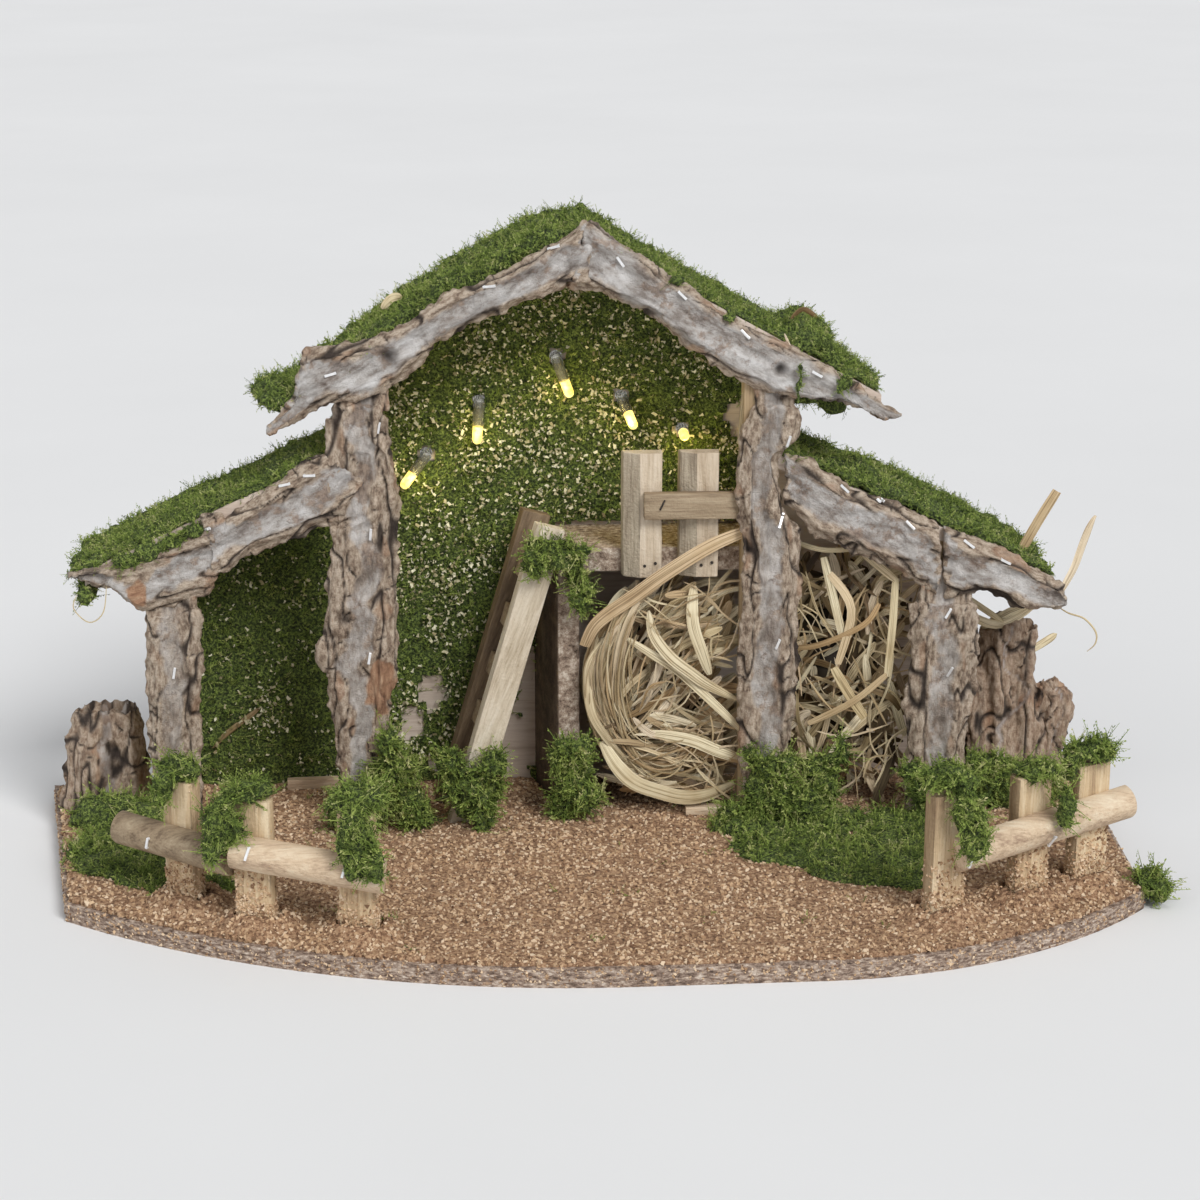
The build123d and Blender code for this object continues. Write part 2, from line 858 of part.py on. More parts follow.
# Loft fence: split posts with a slanting left facet, nailed to the floor's front edge
loft_post_bottom_z = loft_top_z - loft_post_drop
split_post_shares = [(-0.5, 0.0), (0.5, 0.0), (0.47, 0.94), (-0.06, 1.0), (-0.46, 0.55)]
brad_shares = [(0.06, 0.1), (0.32, 0.12)]
for name, x in (
    ("loft_fence_post_left", loft_post_left_x),
    ("loft_fence_post_right", loft_post_right_x),
):
    with BuildPart() as loft_post:
        with BuildSketch(Plane.XY.offset(loft_post_bottom_z)):
            Polygon(
                *[
                    (x + loft_post_width * side, post_back_y - loft_post_depth * depth)
                    for side, depth in split_post_shares
                ]
            )
        extrude(amount=loft_post_height)
    save(loft_post, name)

loft_post_front_y = post_back_y - loft_post_depth
loft_rail_right_x = main_post_right_x - post_width / 2 - seat_gap
with BuildPart() as loft_fence_rail:
    with BuildSketch(upright(loft_post_front_y)):
        Polygon(
            (loft_rail_left_x, loft_rail_z - loft_rail_height / 2),
            (loft_rail_right_x, loft_rail_z - loft_rail_height / 2),
            (loft_rail_right_x, loft_rail_z + loft_rail_height / 2),
            (loft_rail_left_x, loft_rail_z + loft_rail_height / 2),
        )
    extrude(amount=loft_rail_thickness)
save(loft_fence_rail, "loft_fence_rail")

with BuildPart() as loft_brads:
    for x in (loft_post_left_x, loft_post_right_x):
        for side_share, up_share in brad_shares:
            with BuildSketch(upright(loft_post_front_y)):
                with Locations(
                    (x + loft_post_width * side_share, loft_post_bottom_z + loft_post_height * up_share)
                ):
                    RegularPolygon(brad_diameter / 2, nail_sides)
            extrude(amount=brad_lift)
save(loft_brads, "loft_brads")

# Ladder: flat rails leaning square against the loft's end, rungs butted between them
lean = math.radians(ladder_lean)
ladder_foot_z = cover_thickness
lean_run = (loft_top_z - base_thickness - ladder_foot_z) * math.tan(lean)
half_rail = ladder_rail_width / 2 / math.cos(lean)
ladder_foot = -seat_gap - half_rail - lean_run
rail_rise = loft_top_z - ground_z + ladder_top_overhang
rail_run = rail_rise * math.tan(lean)
end_drop = ladder_rail_width * math.sin(lean)


def ladder_plane(depth):
    """Upright plane across the ladder, at a depth behind the partition's front edge."""
    return Plane(
        origin=loft_frame.from_local_coords((0, depth, 0)),
        x_dir=loft_frame.x_dir,
        z_dir=-loft_frame.y_dir,
    )


back_rail_depth = -ladder_front_overhang + ladder_rail_thickness + rung_length
for name, depth in (
    ("ladder_rail_front", -ladder_front_overhang),
    ("ladder_rail_back", back_rail_depth),
):
    with BuildPart() as ladder_rail:
        with BuildSketch(ladder_plane(depth)):
            Polygon(
                (ladder_foot - half_rail, ladder_foot_z),
                (ladder_foot + half_rail, ladder_foot_z),
                (ladder_foot + half_rail + rail_run, ladder_foot_z + rail_rise),
                (
                    ladder_foot + half_rail + rail_run - ladder_rail_width * math.cos(lean),
                    ladder_foot_z + rail_rise + end_drop,
                ),
            )
        extrude(amount=-ladder_rail_thickness)
    save(ladder_rail, name)

with BuildPart() as ladder_rungs:
    for step in range(rung_count):
        up = rung_first + step * rung_pitch
        with BuildSketch(ladder_plane(-ladder_front_overhang + ladder_rail_thickness + rung_seat)):
            with Locations(
                (ladder_foot + up * math.sin(lean), ladder_foot_z + up * math.cos(lean))
            ):
                Rectangle(rung_thickness, rung_height, rotation=-ladder_lean)
        extrude(amount=-(rung_length - 2 * rung_seat))
save(ladder_rungs, "ladder_rungs")

# Fence stakes: split rounds, flat side to the front
for name, (place, angle) in stakes.items():
    nail = fence_point(*place, angle + 90, nail_setback)
    with BuildPart() as stake:
        with BuildSketch(stake_plane(place, angle)):
            with BuildLine():
                Line((-stake_width / 2, 0), (stake_width / 2, 0))
                ThreePointArc(
                    (stake_width / 2, 0), (0, stake_depth), (-stake_width / 2, 0)
                )
            make_face()
        extrude(amount=stake_height)
        bore_for_nails([nail], nail_length + nail_clearance)
    save(stake, name)

# The left outer rail ends just short of where the inner one begins
left_inner_start = fence_point(*left_middle, left_fence_inner_angle, -left_inner_rail_back)
outer_turn = math.radians(left_fence_outer_angle)
joint_reach = (left_inner_start[0] - left_outer[0]) * math.cos(outer_turn)
joint_reach += (left_inner_start[1] - left_outer[1]) * math.sin(outer_turn)
left_outer_end = joint_reach - left_rail_joint_gap

# Fence rails: half rounds, flat side against the stakes. Each has its start in plan, its angle
# there, its length, the height of its middle, and its rise over the length.
rails = {
    "fence_left_rail_outer": (
        fence_point(*left_outer, left_fence_outer_angle, left_outer_end - left_outer_rail_length),
        left_fence_outer_angle,
        left_outer_rail_length,
        left_outer_rail_z,
        0,
    ),
    "fence_left_rail_inner": (
        left_inner_start,
        left_fence_inner_angle,
        left_inner_rail_length,
        left_inner_rail_z,
        -left_inner_rail_fall,
    ),
    "fence_right_rail": (
        fence_point(*right_inner, right_fence_angle, right_rail_start),
        right_fence_angle,
        right_rail_length,
        right_rail_z,
        right_rail_rise,
    ),
}
fence_staple_shares = {
    "fence_left_rail_outer": (0.22, 0.88),
    "fence_left_rail_inner": (0.10, 0.72),
    "fence_right_rail": (0.08, 0.56),
}


def rail_plane(start, angle, z, length, rise):
    """Section plane at a rail's start, X pointing forward out of the flat back."""
    turn = math.radians(angle)
    return Plane(
        origin=(*start, z),
        x_dir=(math.sin(turn), -math.cos(turn), 0),
        z_dir=(length * math.cos(turn), length * math.sin(turn), rise),
    )


for name, (start, angle, length, z, rise) in rails.items():
    with BuildPart() as fence_rail:
        with BuildSketch(rail_plane(start, angle, z, length, rise)):
            with BuildLine():
                Line((0, -fence_rail_height / 2), (0, fence_rail_height / 2))
                ThreePointArc(
                    (0, fence_rail_height / 2), (fence_rail_depth, 0), (0, -fence_rail_height / 2)
                )
            make_face()
        extrude(amount=math.hypot(length, rise))
    save(fence_rail, name)

with BuildPart() as fence_staples:
    for name, (start, angle, length, z, rise) in rails.items():
        for share in fence_staple_shares[name]:
            section = rail_plane(start, angle, z, length, rise).offset(length * share)
            with BuildSketch(section):
                with Locations((fence_rail_depth + staple_lift + staple_wire / 2, 0)):
                    Rectangle(staple_wire, staple_crown)
            extrude(amount=staple_wire)
save(fence_staples, "fence_staples")

# Lamps: clear sleeves bent down out of the wall, a bulb with a narrowed end on each
def lamp_path(hole, turns):
    """Middle line of a sleeve, from the back of the wall to its open end."""
    x, z = hole
    swing, droop = turns
    turn = math.radians(swing)
    side = Plane(
        origin=(x, wall_back_y, z),
        x_dir=(0, -1, 0),
        z_dir=Vector(0, -1, 0).cross(Vector(math.sin(turn), 0, -math.cos(turn))),
    )
    with BuildLine(side) as path:
        reach = sleeve_bend * math.tan(math.radians(droop / 2))
        start = Line((0, 0), (wall_thickness + sleeve_stub + reach, 0))
        PolarLine(start @ 1, reach + sleeve_drop, droop)
    return path.line


with BuildPart() as led_sleeves:
    for hole, turns in lamps:
        path = lamp_path(hole, turns)
        with BuildSketch(Plane(origin=path @ 0, z_dir=path % 0)):
            RegularPolygon(sleeve_diameter / 2, lamp_sides)
            RegularPolygon(sleeve_bore / 2, lamp_sides, mode=Mode.SUBTRACT)
        sweep(path=path, transition=Transition.RIGHT)
save(led_sleeves, "led_sleeves")

bulb_rows_shares = [(0.0, 1.0), (0.75, 1.0), (0.93, 0.75), (1.0, 0.4)]
with BuildPart() as led_bulbs:
    for hole, turns in lamps:
        path = lamp_path(hole, turns)
        mouth = path @ 1
        aim = path % 1
        for reach_share, size_share in bulb_rows_shares:
            with BuildSketch(Plane(origin=mouth + aim * (bulb_length * reach_share), z_dir=aim)):
                RegularPolygon(bulb_diameter / 2 * size_share, lamp_sides)
        loft(ruled=True)
save(led_bulbs, "led_bulbs")

# Stumps: standing blocks of thick bark, rough in plan, narrowing unevenly to a broken top
stump_plan_shares = [
    (-0.5, -0.2),
    (-0.22, -0.5),
    (0.1, -0.4),
    (0.34, -0.48),
    (0.5, -0.1),
    (0.42, 0.4),
    (0.0, 0.5),
    (-0.4, 0.38),
]
stump_left_rows_shares = [(0.0, 1.0, 0.0), (0.35, 0.92, 0.02), (0.7, 0.86, 0.03), (1.0, 0.64, 0.05)]
stump_right_rows_shares = [(0.0, 1.0, 0.0), (0.3, 0.96, -0.02), (0.75, 0.9, -0.03), (1.0, 0.82, 0.0)]
chip_rows_shares = [(0.0, 0.7, -0.12), (0.45, 0.76, -0.1), (0.6, 1.0, 0.0), (0.9, 0.92, -0.02), (1.0, 0.5, -0.2)]
chip_x = stump_right_x + stump_right_width / 2 + chip_gap + chip_width / 2
stump_right_edge_x = stump_right_x + stump_right_width / 2
stump_right_height = lean_right_under(stump_right_edge_x) - stump_right_roof_gap - ground_z
chip_height = stump_right_height * chip_height_share
stumps = {
    "bark_log_left": (
        (stump_left_x, stump_left_y),
        (stump_left_width, stump_left_depth, stump_left_height),
        stump_left_rows_shares,
    ),
    "bark_log_right": (
        (stump_right_x, stump_right_y),
        (stump_right_width, stump_right_depth, stump_right_height),
        stump_right_rows_shares,
    ),
    "bark_chip_right": (
        (chip_x, stump_right_y),
        (chip_width, chip_depth, chip_height),
        chip_rows_shares,
    ),
}
for name, ((x, y), (width, depth, height), rows) in stumps.items():
    with BuildPart() as stump:
        for up_share, size_share, shift_share in rows:
            with BuildSketch(Plane.XY.offset(ground_z + height * up_share)):
                Polygon(
                    *[
                        (
                            x + width * (side * size_share + shift_share),
                            y + depth * back * size_share,
                        )
                        for side, back in stump_plan_shares
                    ]
                )
        loft(ruled=True)
    save(stump, name)

# Straw: a coiled nest under the loft, a loose fill in the right bay
nest_left_x = partition_right_x + straw_gap
nest_right_x = main_post_right_x - post_width / 2 - straw_gap
nest_back_y = wall_front_y - straw_gap
nest_top_z = min(loft_under_z, loft_post_bottom_z)
nest_height = nest_top_z - ground_z - 2 * straw_gap
with BuildPart() as straw_nest:
    with BuildSketch(upright(nest_front_y)):
        with Locations(((nest_left_x + nest_right_x) / 2, (ground_z + nest_top_z) / 2)):
            RectangleRounded(nest_right_x - nest_left_x, nest_height, nest_round)
    extrude(amount=nest_front_y - nest_back_y)
save(straw_nest, "straw_nest")

bay_straw_left_x = main_post_right_x + post_width / 2 + straw_gap
bay_straw_shares = [(0.0, 0.0), (1.0, 0.0), (1.0, 0.86), (0.7, 1.0), (0.3, 0.96), (0.0, 0.9)]
bay_straw_width = bay_straw_right_x - bay_straw_left_x
bay_straw_height = lean_right_under(bay_straw_right_x) - bay_straw_drop - ground_z
with BuildPart() as straw_right_bay:
    with BuildSketch(upright(bay_straw_front_y)):
        Polygon(
            *[
                (
                    bay_straw_left_x + bay_straw_width * side,
                    ground_z + straw_gap + bay_straw_height * up,
                )
                for side, up in bay_straw_shares
            ]
        )
    extrude(amount=bay_straw_front_y - nest_back_y)
save(straw_right_bay, "straw_right_bay")

stalk_plane = Plane(
    origin=(stalk_x, stalk_y, lean_right_top(stalk_x) + stalk_diameter / 2),
    z_dir=(math.sin(math.radians(stalk_tilt)), 0, math.cos(math.radians(stalk_tilt))),
)
leaf_side = math.radians(leaf_tilt)
leaf_plane = Plane(
    origin=(lean_right_eave_x + seat_gap + leaf_width / 2, leaf_y, lean_right_under(lean_right_eave_x)),
    x_dir=(math.cos(leaf_side), 0, -math.sin(leaf_side)),
    z_dir=(math.sin(leaf_side), 0, math.cos(leaf_side)),
)
with BuildPart() as straw_stalks:
    with BuildSketch(stalk_plane):
        Circle(stalk_diameter / 2)
    extrude(amount=stalk_length)
    with BuildSketch(leaf_plane):
        Rectangle(leaf_width, leaf_thickness)
    extrude(amount=leaf_length)
save(straw_stalks, "straw_stalks")

# Loose wood: a sawn offcut in front of the nest, and a stick in the left bay
with BuildPart() as ground_offcuts:
    with Locations((offcut_x, nest_front_y - straw_gap - offcut_width / 2, ground_z)):
        Box(
            offcut_length,
            offcut_width,
            offcut_thickness,
            align=(Align.CENTER, Align.CENTER, Align.MIN),
        )
    with Locations(Location((stick_x, stick_y, ground_z), (0, 0, stick_angle))):
        Box(
            stick_length,
            stick_thickness,
            stick_thickness,
            align=(Align.CENTER, Align.CENTER, Align.MIN),
        )
save(ground_offcuts, "ground_offcuts")

# Roof moss: mats on the boards, uneven on top and hanging over the eaves
main_left_moss_shares = [
    (0.0, 0.55),
    (0.12, 1.15),
    (0.29, 1.4),
    (0.44, 1.65),
    (0.57, 1.3),
    (0.73, 1.0),
    (0.88, 0.5),
    (1.0, 0.3),
]
main_right_moss_shares = [
    (0.0, 0.5),
    (0.2, 0.25),
    (0.5, 0.22),
    (0.68, 0.3),
    (0.74, 1.35),
    (0.82, 1.55),
    (0.88, 0.5),
    (1.0, 0.3),
]
lean_left_moss_shares = [(0.0, 0.2), (0.3, 0.22), (0.6, 0.35), (0.85, 0.3), (1.0, 0.3)]
lean_right_moss_shares = [
    (0.0, 0.3),
    (0.14, 0.35),
    (0.35, 0.8),
    (0.53, 0.85),
    (0.68, 0.75),
    (0.84, 0.7),
    (1.0, 0.25),
]
moss_mats = {
    "moss_roof_main_left": (
        ridge_x,
        main_left_eave_x - roof_moss_overhang,
        main_top,
        main_left_moss_shares,
    ),
    "moss_roof_main_right": (ridge_x, main_right_eave_x, main_top, main_right_moss_shares),
    "moss_roof_lean_left": (
        lean_left_inner_x - seat_gap,
        lean_left_eave_x - roof_moss_overhang,
        lean_left_top,
        lean_left_moss_shares,
    ),
    "moss_roof_lean_right": (
        lean_right_inner_x + seat_gap,
        lean_right_eave_x,
        lean_right_top,
        lean_right_moss_shares,
    ),
}
for name, (inner, eave, top, top_shares) in moss_mats.items():
    crest = []
    for along_share, thick_share in top_shares:
        x = inner + (eave - inner) * along_share
        crest.append((x, top(x) + roof_moss * thick_share))
    with BuildPart() as mat:
        with BuildSketch(upright(frame_front_y)):
            Polygon((inner, top(inner)), *crest, (eave, top(eave)))
        extrude(amount=-roof_depth)
        if name == "moss_roof_lean_right":
            with BuildSketch(stalk_plane.offset(-overrun)):
                Circle(stalk_diameter / 2 + seat_gap)
            extrude(amount=stalk_length + overrun, mode=Mode.SUBTRACT)
    save(mat, name)

# Wall moss: a thin skin in the main bay and in the left bay, clear of the lamps and the loft
bay_left_x = main_post_left_x - post_width / 2
bay_right_x = main_post_right_x - post_width / 2
bare_foot_shares = (0.24, 0.30)
bare_side_shares = (0.10, 0.40)
with BuildPart() as moss_wall:
    with BuildSketch(upright(wall_front_y)):
        Polygon(
            (bay_left_x, ground_z + seat_gap),
            (bay_left_x + bay_width * bare_foot_shares[0], loft_top_z * bare_foot_shares[1]),
            (partition_left_x - partition_shift - seat_gap, loft_under_z),
            (partition_left_x - partition_shift - seat_gap, loft_top_z + seat_gap),
            (bay_right_x, loft_top_z + seat_gap),
            (
                bay_right_x - bay_width * bare_side_shares[0],
                loft_top_z + gable_rise * bare_side_shares[1],
            ),
            (bay_right_x, main_under(bay_right_x) - seat_gap),
            (ridge_x, main_under(ridge_x) - seat_gap),
            (bay_left_x, main_under(bay_left_x) - seat_gap),
        )
        Polygon(
            (wall_left_x, ground_z + seat_gap),
            (bay_left_x - seat_gap, ground_z + seat_gap),
            (bay_left_x - seat_gap, lean_left_under(bay_left_x) - seat_gap),
            (wall_left_x, lean_left_under(wall_left_x) - seat_gap),
        )
        with Locations(*lamp_holes):
            Circle(sleeve_diameter / 2 + lamp_clearance, mode=Mode.SUBTRACT)
    extrude(amount=wall_moss)
save(moss_wall, "moss_wall")

# Ground moss: low patches in front of the right bay and at the left end
bark_front_y = frame_front_y - bark_thickness
right_patch_shares = [
    (-0.26, 0.72),
    (-0.17, 0.985),
    (1.16, 0.985),
    (1.0, 0.22),
    (0.80, -0.98),
    (0.50, -0.92),
    (0.17, -0.40),
]
left_patch_shares = [
    (-0.93, 1.1),
    (-0.90, -0.2),
    (-0.82, -0.55),
    (-0.77, 0.0),
    (-0.74, 0.9),
]
right_patch_width = outer_post_right_x - main_post_right_x
with BuildPart() as moss_ground:
    with BuildSketch(Plane.XY.offset(ground_z + seat_gap)):
        Polygon(
            *[
                (main_post_right_x + right_patch_width * side, bark_front_y * back)
                for side, back in right_patch_shares
            ]
        )
        Polygon(
            *[
                (-base_left_rear_x * side, bark_front_y * back)
                for side, back in left_patch_shares
            ]
        )
    extrude(amount=ground_moss)
save(moss_ground, "moss_ground")

# Tufts: mounds at the feet of posts, on the ladder, on the stakes and over the base's right end
mound_plan_shares = [
    (-1.0, -0.1),
    (-0.6, -0.8),
    (0.1, -1.0),
    (0.75, -0.7),
    (1.0, 0.1),
    (0.7, 0.75),
    (-0.1, 1.0),
    (-0.75, 0.7),
]
mound_rows_shares = [(0.0, 0.9), (0.45, 1.0), (1.0, 0.5)]
tuft_mid = tuft_width / 2 + seat_gap
ladder_tuft = loft_frame.from_local_coords((ladder_foot, -ladder_front_overhang - tuft_mid, 0))
loft_gap_x = (partition_right_x + loft_post_left_x - loft_post_width / 2) / 2
tuft_sites = [
    ((main_post_left_x, bark_front_y - tuft_mid), ground_z, (tuft_length, tuft_width, tuft_height), 0),
    (
        (partition_left_x + partition_thickness / 2, nest_front_y - tuft_mid),
        ground_z,
        (tuft_length, tuft_width, tuft_height),
        0,
    ),
    (
        (ladder_tuft.X, ladder_tuft.Y),
        ground_z,
        (tuft_length, tuft_width, tuft_height),
        partition_skew,
    ),
    (
        (loft_gap_x, post_back_y - loft_tuft_width / 2 - seat_gap),
        loft_under_z,
        (loft_tuft_length, loft_tuft_width, loft_tuft_height),
        0,
    ),
    (
        (base_right_front_x, base_right_shoulder_y + rim_moss_length / 2),
        ground_z,
        (rim_moss_width, rim_moss_length, rim_moss_height),
        0,
    ),
]
for place, angle in stakes.values():
    cap = fence_point(*place, angle + 90, stake_depth / 2)
    tuft_sites.append((cap, base_thickness + stake_height, (cap_length, cap_width, cap_height), angle))

with BuildPart() as moss_tufts:
    for place, foot_z, (length, width, height), angle in tuft_sites:
        turn = math.radians(angle)
        ring = Plane(
            origin=(*place, foot_z + seat_gap), x_dir=(math.cos(turn), math.sin(turn), 0)
        )
        for up_share, size_share in mound_rows_shares:
            with BuildSketch(ring.offset(height * up_share)):
                Polygon(
                    *[
                        (length / 2 * side * size_share, width / 2 * back * size_share)
                        for side, back in mound_plan_shares
                    ]
                )
        loft(ruled=True)
save(moss_tufts, "moss_tufts")
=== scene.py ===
import json
import math
import random

import bmesh
import bpy
from mathutils import Matrix, Vector, geometry, noise
from mathutils.bvhtree import BVHTree

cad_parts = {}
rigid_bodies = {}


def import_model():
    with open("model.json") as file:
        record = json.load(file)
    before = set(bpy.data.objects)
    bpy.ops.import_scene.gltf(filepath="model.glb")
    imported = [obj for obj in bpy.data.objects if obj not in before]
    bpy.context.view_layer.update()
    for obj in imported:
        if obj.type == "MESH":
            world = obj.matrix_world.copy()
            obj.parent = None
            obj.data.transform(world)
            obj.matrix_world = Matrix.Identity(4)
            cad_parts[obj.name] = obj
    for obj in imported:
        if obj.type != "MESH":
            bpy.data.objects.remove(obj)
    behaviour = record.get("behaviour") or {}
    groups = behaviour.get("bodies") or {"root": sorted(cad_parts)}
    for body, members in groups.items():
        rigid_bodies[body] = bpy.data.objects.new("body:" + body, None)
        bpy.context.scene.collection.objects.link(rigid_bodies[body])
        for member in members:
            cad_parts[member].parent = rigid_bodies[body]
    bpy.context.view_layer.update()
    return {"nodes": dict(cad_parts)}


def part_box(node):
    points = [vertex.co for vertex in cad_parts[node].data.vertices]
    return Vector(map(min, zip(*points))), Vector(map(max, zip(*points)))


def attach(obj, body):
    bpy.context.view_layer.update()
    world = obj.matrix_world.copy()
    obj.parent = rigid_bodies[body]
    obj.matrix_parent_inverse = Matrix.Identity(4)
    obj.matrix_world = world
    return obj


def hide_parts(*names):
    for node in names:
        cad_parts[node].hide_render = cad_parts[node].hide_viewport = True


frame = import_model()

# Base boards: two sawn chipboard pieces butted at a straight seam. Their cut rim is rough, and
# bark dust sticks to it. Dowels in the seam and nails from below hold them, out of sight.
solids = frame["nodes"]
MM = 0.001


def add_node(tree, kind, inputs=None, **settings):
    """A node with its settings, each input linked to another node or set to a value."""
    node = tree.nodes.new(kind)
    for label, setting in settings.items():
        setattr(node, label, setting)
    for socket, value in (inputs or {}).items():
        if isinstance(value, bpy.types.NodeSocket):
            tree.links.new(value, node.inputs[socket])
        else:
            node.inputs[socket].default_value = value
    return node.outputs


def new_finish(name, roughness):
    """A material, its nodes, its shader, and the coordinates that its patterns read."""
    finish = bpy.data.materials.new(name)
    finish.use_nodes = True
    tree = finish.node_tree
    shader = tree.nodes["Principled BSDF"]
    shader.inputs["Roughness"].default_value = roughness
    return finish, tree, shader, add_node(tree, "ShaderNodeTexCoord")["Object"]


def painted(shader, color):
    shader.id_data.links.new(color, shader.inputs["Base Color"])


def stretched(tree, place, scale, turn=(0, 0, 0)):
    angles = [math.radians(angle) for angle in turn]
    return add_node(tree, "ShaderNodeMapping", {"Vector": place, "Scale": scale, "Rotation": angles})["Vector"]


def mottle(tree, place, scale, detail=4.0, rough=0.6):
    """An uneven value from 0 to 1, with that many changes per metre."""
    pattern = {"Vector": place, "Scale": scale, "Detail": detail, "Roughness": rough}
    return add_node(tree, "ShaderNodeTexNoise", pattern)["Fac"]


def tinted(tree, value, stops):
    """Colours along a value, each as its place and its colour."""
    ramp = tree.nodes.new("ShaderNodeValToRGB")
    band = ramp.color_ramp
    while len(band.elements) < len(stops):
        band.elements.new(0.5)
    for element, (at, color) in zip(band.elements, stops):
        element.position = at
        element.color = (*color, 1)
    tree.links.new(value, ramp.inputs["Fac"])
    return ramp.outputs["Color"]


def blended(tree, value, under, over, how="MIX"):
    colors = {0: value, 6: under, 7: over}
    return add_node(tree, "ShaderNodeMix", colors, data_type="RGBA", blend_type=how)[2]


def worked(tree, how, first, second):
    """Two values worked into one. Either may be a number."""
    return add_node(tree, "ShaderNodeMath", {0: first, 1: second}, operation=how)["Value"]


def embossed(tree, shader, height, depth):
    bump = add_node(tree, "ShaderNodeBump", {"Distance": depth, "Height": height})
    tree.links.new(bump["Normal"], shader.inputs["Normal"])


def value_group(name, inputs, outputs):
    """An empty node group with its two ends: each input has a name, a kind and a first value."""
    group = bpy.data.node_groups.new(name, "ShaderNodeTree")
    for label, kind, first in inputs:
        socket = group.interface.new_socket(label, in_out="INPUT", socket_type=kind)
        if first is not None:
            socket.default_value = first
    for label, kind in outputs:
        group.interface.new_socket(label, in_out="OUTPUT", socket_type=kind)
    return group, group.nodes.new("NodeGroupInput").outputs, group.nodes.new("NodeGroupOutput").inputs


# Bark dust: fine specks that cluster
dust_group, dust_in, dust_out = value_group(
    "bark_dust",
    [("Vector", "NodeSocketVector", None), ("Amount", "NodeSocketFloat", 0.5)],
    [("Mask", "NodeSocketFloat"), ("Height", "NodeSocketFloat")],
)
specks = mottle(dust_group, dust_in["Vector"], 700, 3)
clumps = mottle(dust_group, dust_in["Vector"], 130, 3)
dust_height = worked(dust_group, "ADD", specks, clumps)
dust_limit = worked(dust_group, "SUBTRACT", 1.5, dust_in["Amount"])
dust_top = worked(dust_group, "ADD", dust_limit, 0.12)
dust_range = {"Value": dust_height, "From Min": dust_limit, "From Max": dust_top}
dust_group.links.new(add_node(dust_group, "ShaderNodeMapRange", dust_range)["Result"], dust_out["Mask"])
dust_group.links.new(dust_height, dust_out["Height"])


def dusted(tree, place, amount):
    dust = add_node(tree, "ShaderNodeGroup", {"Vector": place, "Amount": amount}, node_tree=dust_group)
    return dust["Mask"], dust["Height"]


def finish_solids(finish, *names):
    """CAD pieces whose shape is right keep it and take the finish."""
    for name in names:
        solids[name].data.materials.clear()
        solids[name].data.materials.append(finish)


rim_finish, tree, shader, place = new_finish("sawn_rim", 0.9)
rim_tone = tinted(
    tree,
    mottle(tree, stretched(tree, place, (1, 1, 3)), 260, 6, 0.7),
    [
        (0.32, (0.04, 0.026, 0.018)),
        (0.45, (0.20, 0.135, 0.10)),
        (0.55, (0.42, 0.32, 0.25)),
        (0.68, (0.74, 0.64, 0.54)),
    ],
)
dust_mask, dust_rise = dusted(tree, place, 0.35)
dust_tone = tinted(tree, mottle(tree, place, 900), [(0.3, (0.20, 0.11, 0.065)), (0.7, (0.62, 0.43, 0.28))])
painted(shader, blended(tree, dust_mask, rim_tone, dust_tone))
embossed(tree, shader, dust_rise, 1.2 * MM)
finish_solids(rim_finish, "base_rear_board", "base_front_board")

# Wood grain: long fibres along the third coordinate, with darker bands
grain_group, grain_in, grain_out = value_group(
    "wood_grain",
    [("Vector", "NodeSocketVector", None)],
    [("Fibre", "NodeSocketFloat"), ("Band", "NodeSocketFloat")],
)
fibre_run = stretched(grain_group, grain_in["Vector"], (1, 1, 0.06))
band_run = stretched(grain_group, grain_in["Vector"], (1, 1, 0.12))
grain_group.links.new(mottle(grain_group, fibre_run, 900, 5, 0.65), grain_out["Fibre"])
grain_group.links.new(mottle(grain_group, band_run, 160, 3, 0.5), grain_out["Band"])


def wood_finish(name, dark, mid, light, turn=(0, 0, 0), relief=0.4, dust=0.0):
    """Sawn wood: fibres over bands, worn by dust where the amount is over 0."""
    finish, tree, shader, place = new_finish(name, 0.75)
    lie = stretched(tree, place, (1, 1, 1), turn)
    grain = add_node(tree, "ShaderNodeGroup", {"Vector": lie}, node_tree=grain_group)
    height = grain["Fibre"]
    share = worked(tree, "MULTIPLY", worked(tree, "ADD", height, grain["Band"]), 0.5)
    color = tinted(tree, share, [(0.34, dark), (0.50, mid), (0.66, light)])
    if dust > 0:
        mask, rise = dusted(tree, place, dust)
        speck_stops = [(0.35, (0.10, 0.055, 0.04)), (0.65, (0.42, 0.29, 0.23))]
        color = blended(tree, mask, color, tinted(tree, mottle(tree, place, 800), speck_stops))
        height = worked(tree, "ADD", height, rise)
    painted(shader, color)
    embossed(tree, shader, height, relief * MM)
    return finish


def flecked_finish(name, roughness, scale, dark, light, values=None):
    """A plain stuff whose colour wavers between two, with other values for its shader."""
    finish, tree, shader, place = new_finish(name, roughness)
    for socket, value in (values or {}).items():
        shader.inputs[socket].default_value = value
    painted(shader, tinted(tree, mottle(tree, place, scale), [(0.3, dark), (0.7, light)]))
    return finish


ALONG_X = (0, 90, 0)
ALONG_Y = (90, 0, 0)
beech_finish = wood_finish("beech_dowel", (0.42, 0.28, 0.15), (0.60, 0.44, 0.27), (0.70, 0.54, 0.36), ALONG_Y)
finish_solids(beech_finish, "base_dowels")
nail_finish = flecked_finish("bright_nail", 0.35, 400, (0.35, 0.35, 0.36), (0.62, 0.62, 0.63), {"Metallic": 1})
finish_solids(nail_finish, "foot_nails")

# Ground: reddish bark granules glued over the boards and heaped round the fence stakes. The bed is
# an uneven skin, and the loose granules lie on it and stick to the upper part of the rim.
RIGHT, BACK, UP, DOWN = (Vector(way) for way in ((1, 0, 0), (0, 1, 0), (0, 0, 1), (0, 0, -1)))


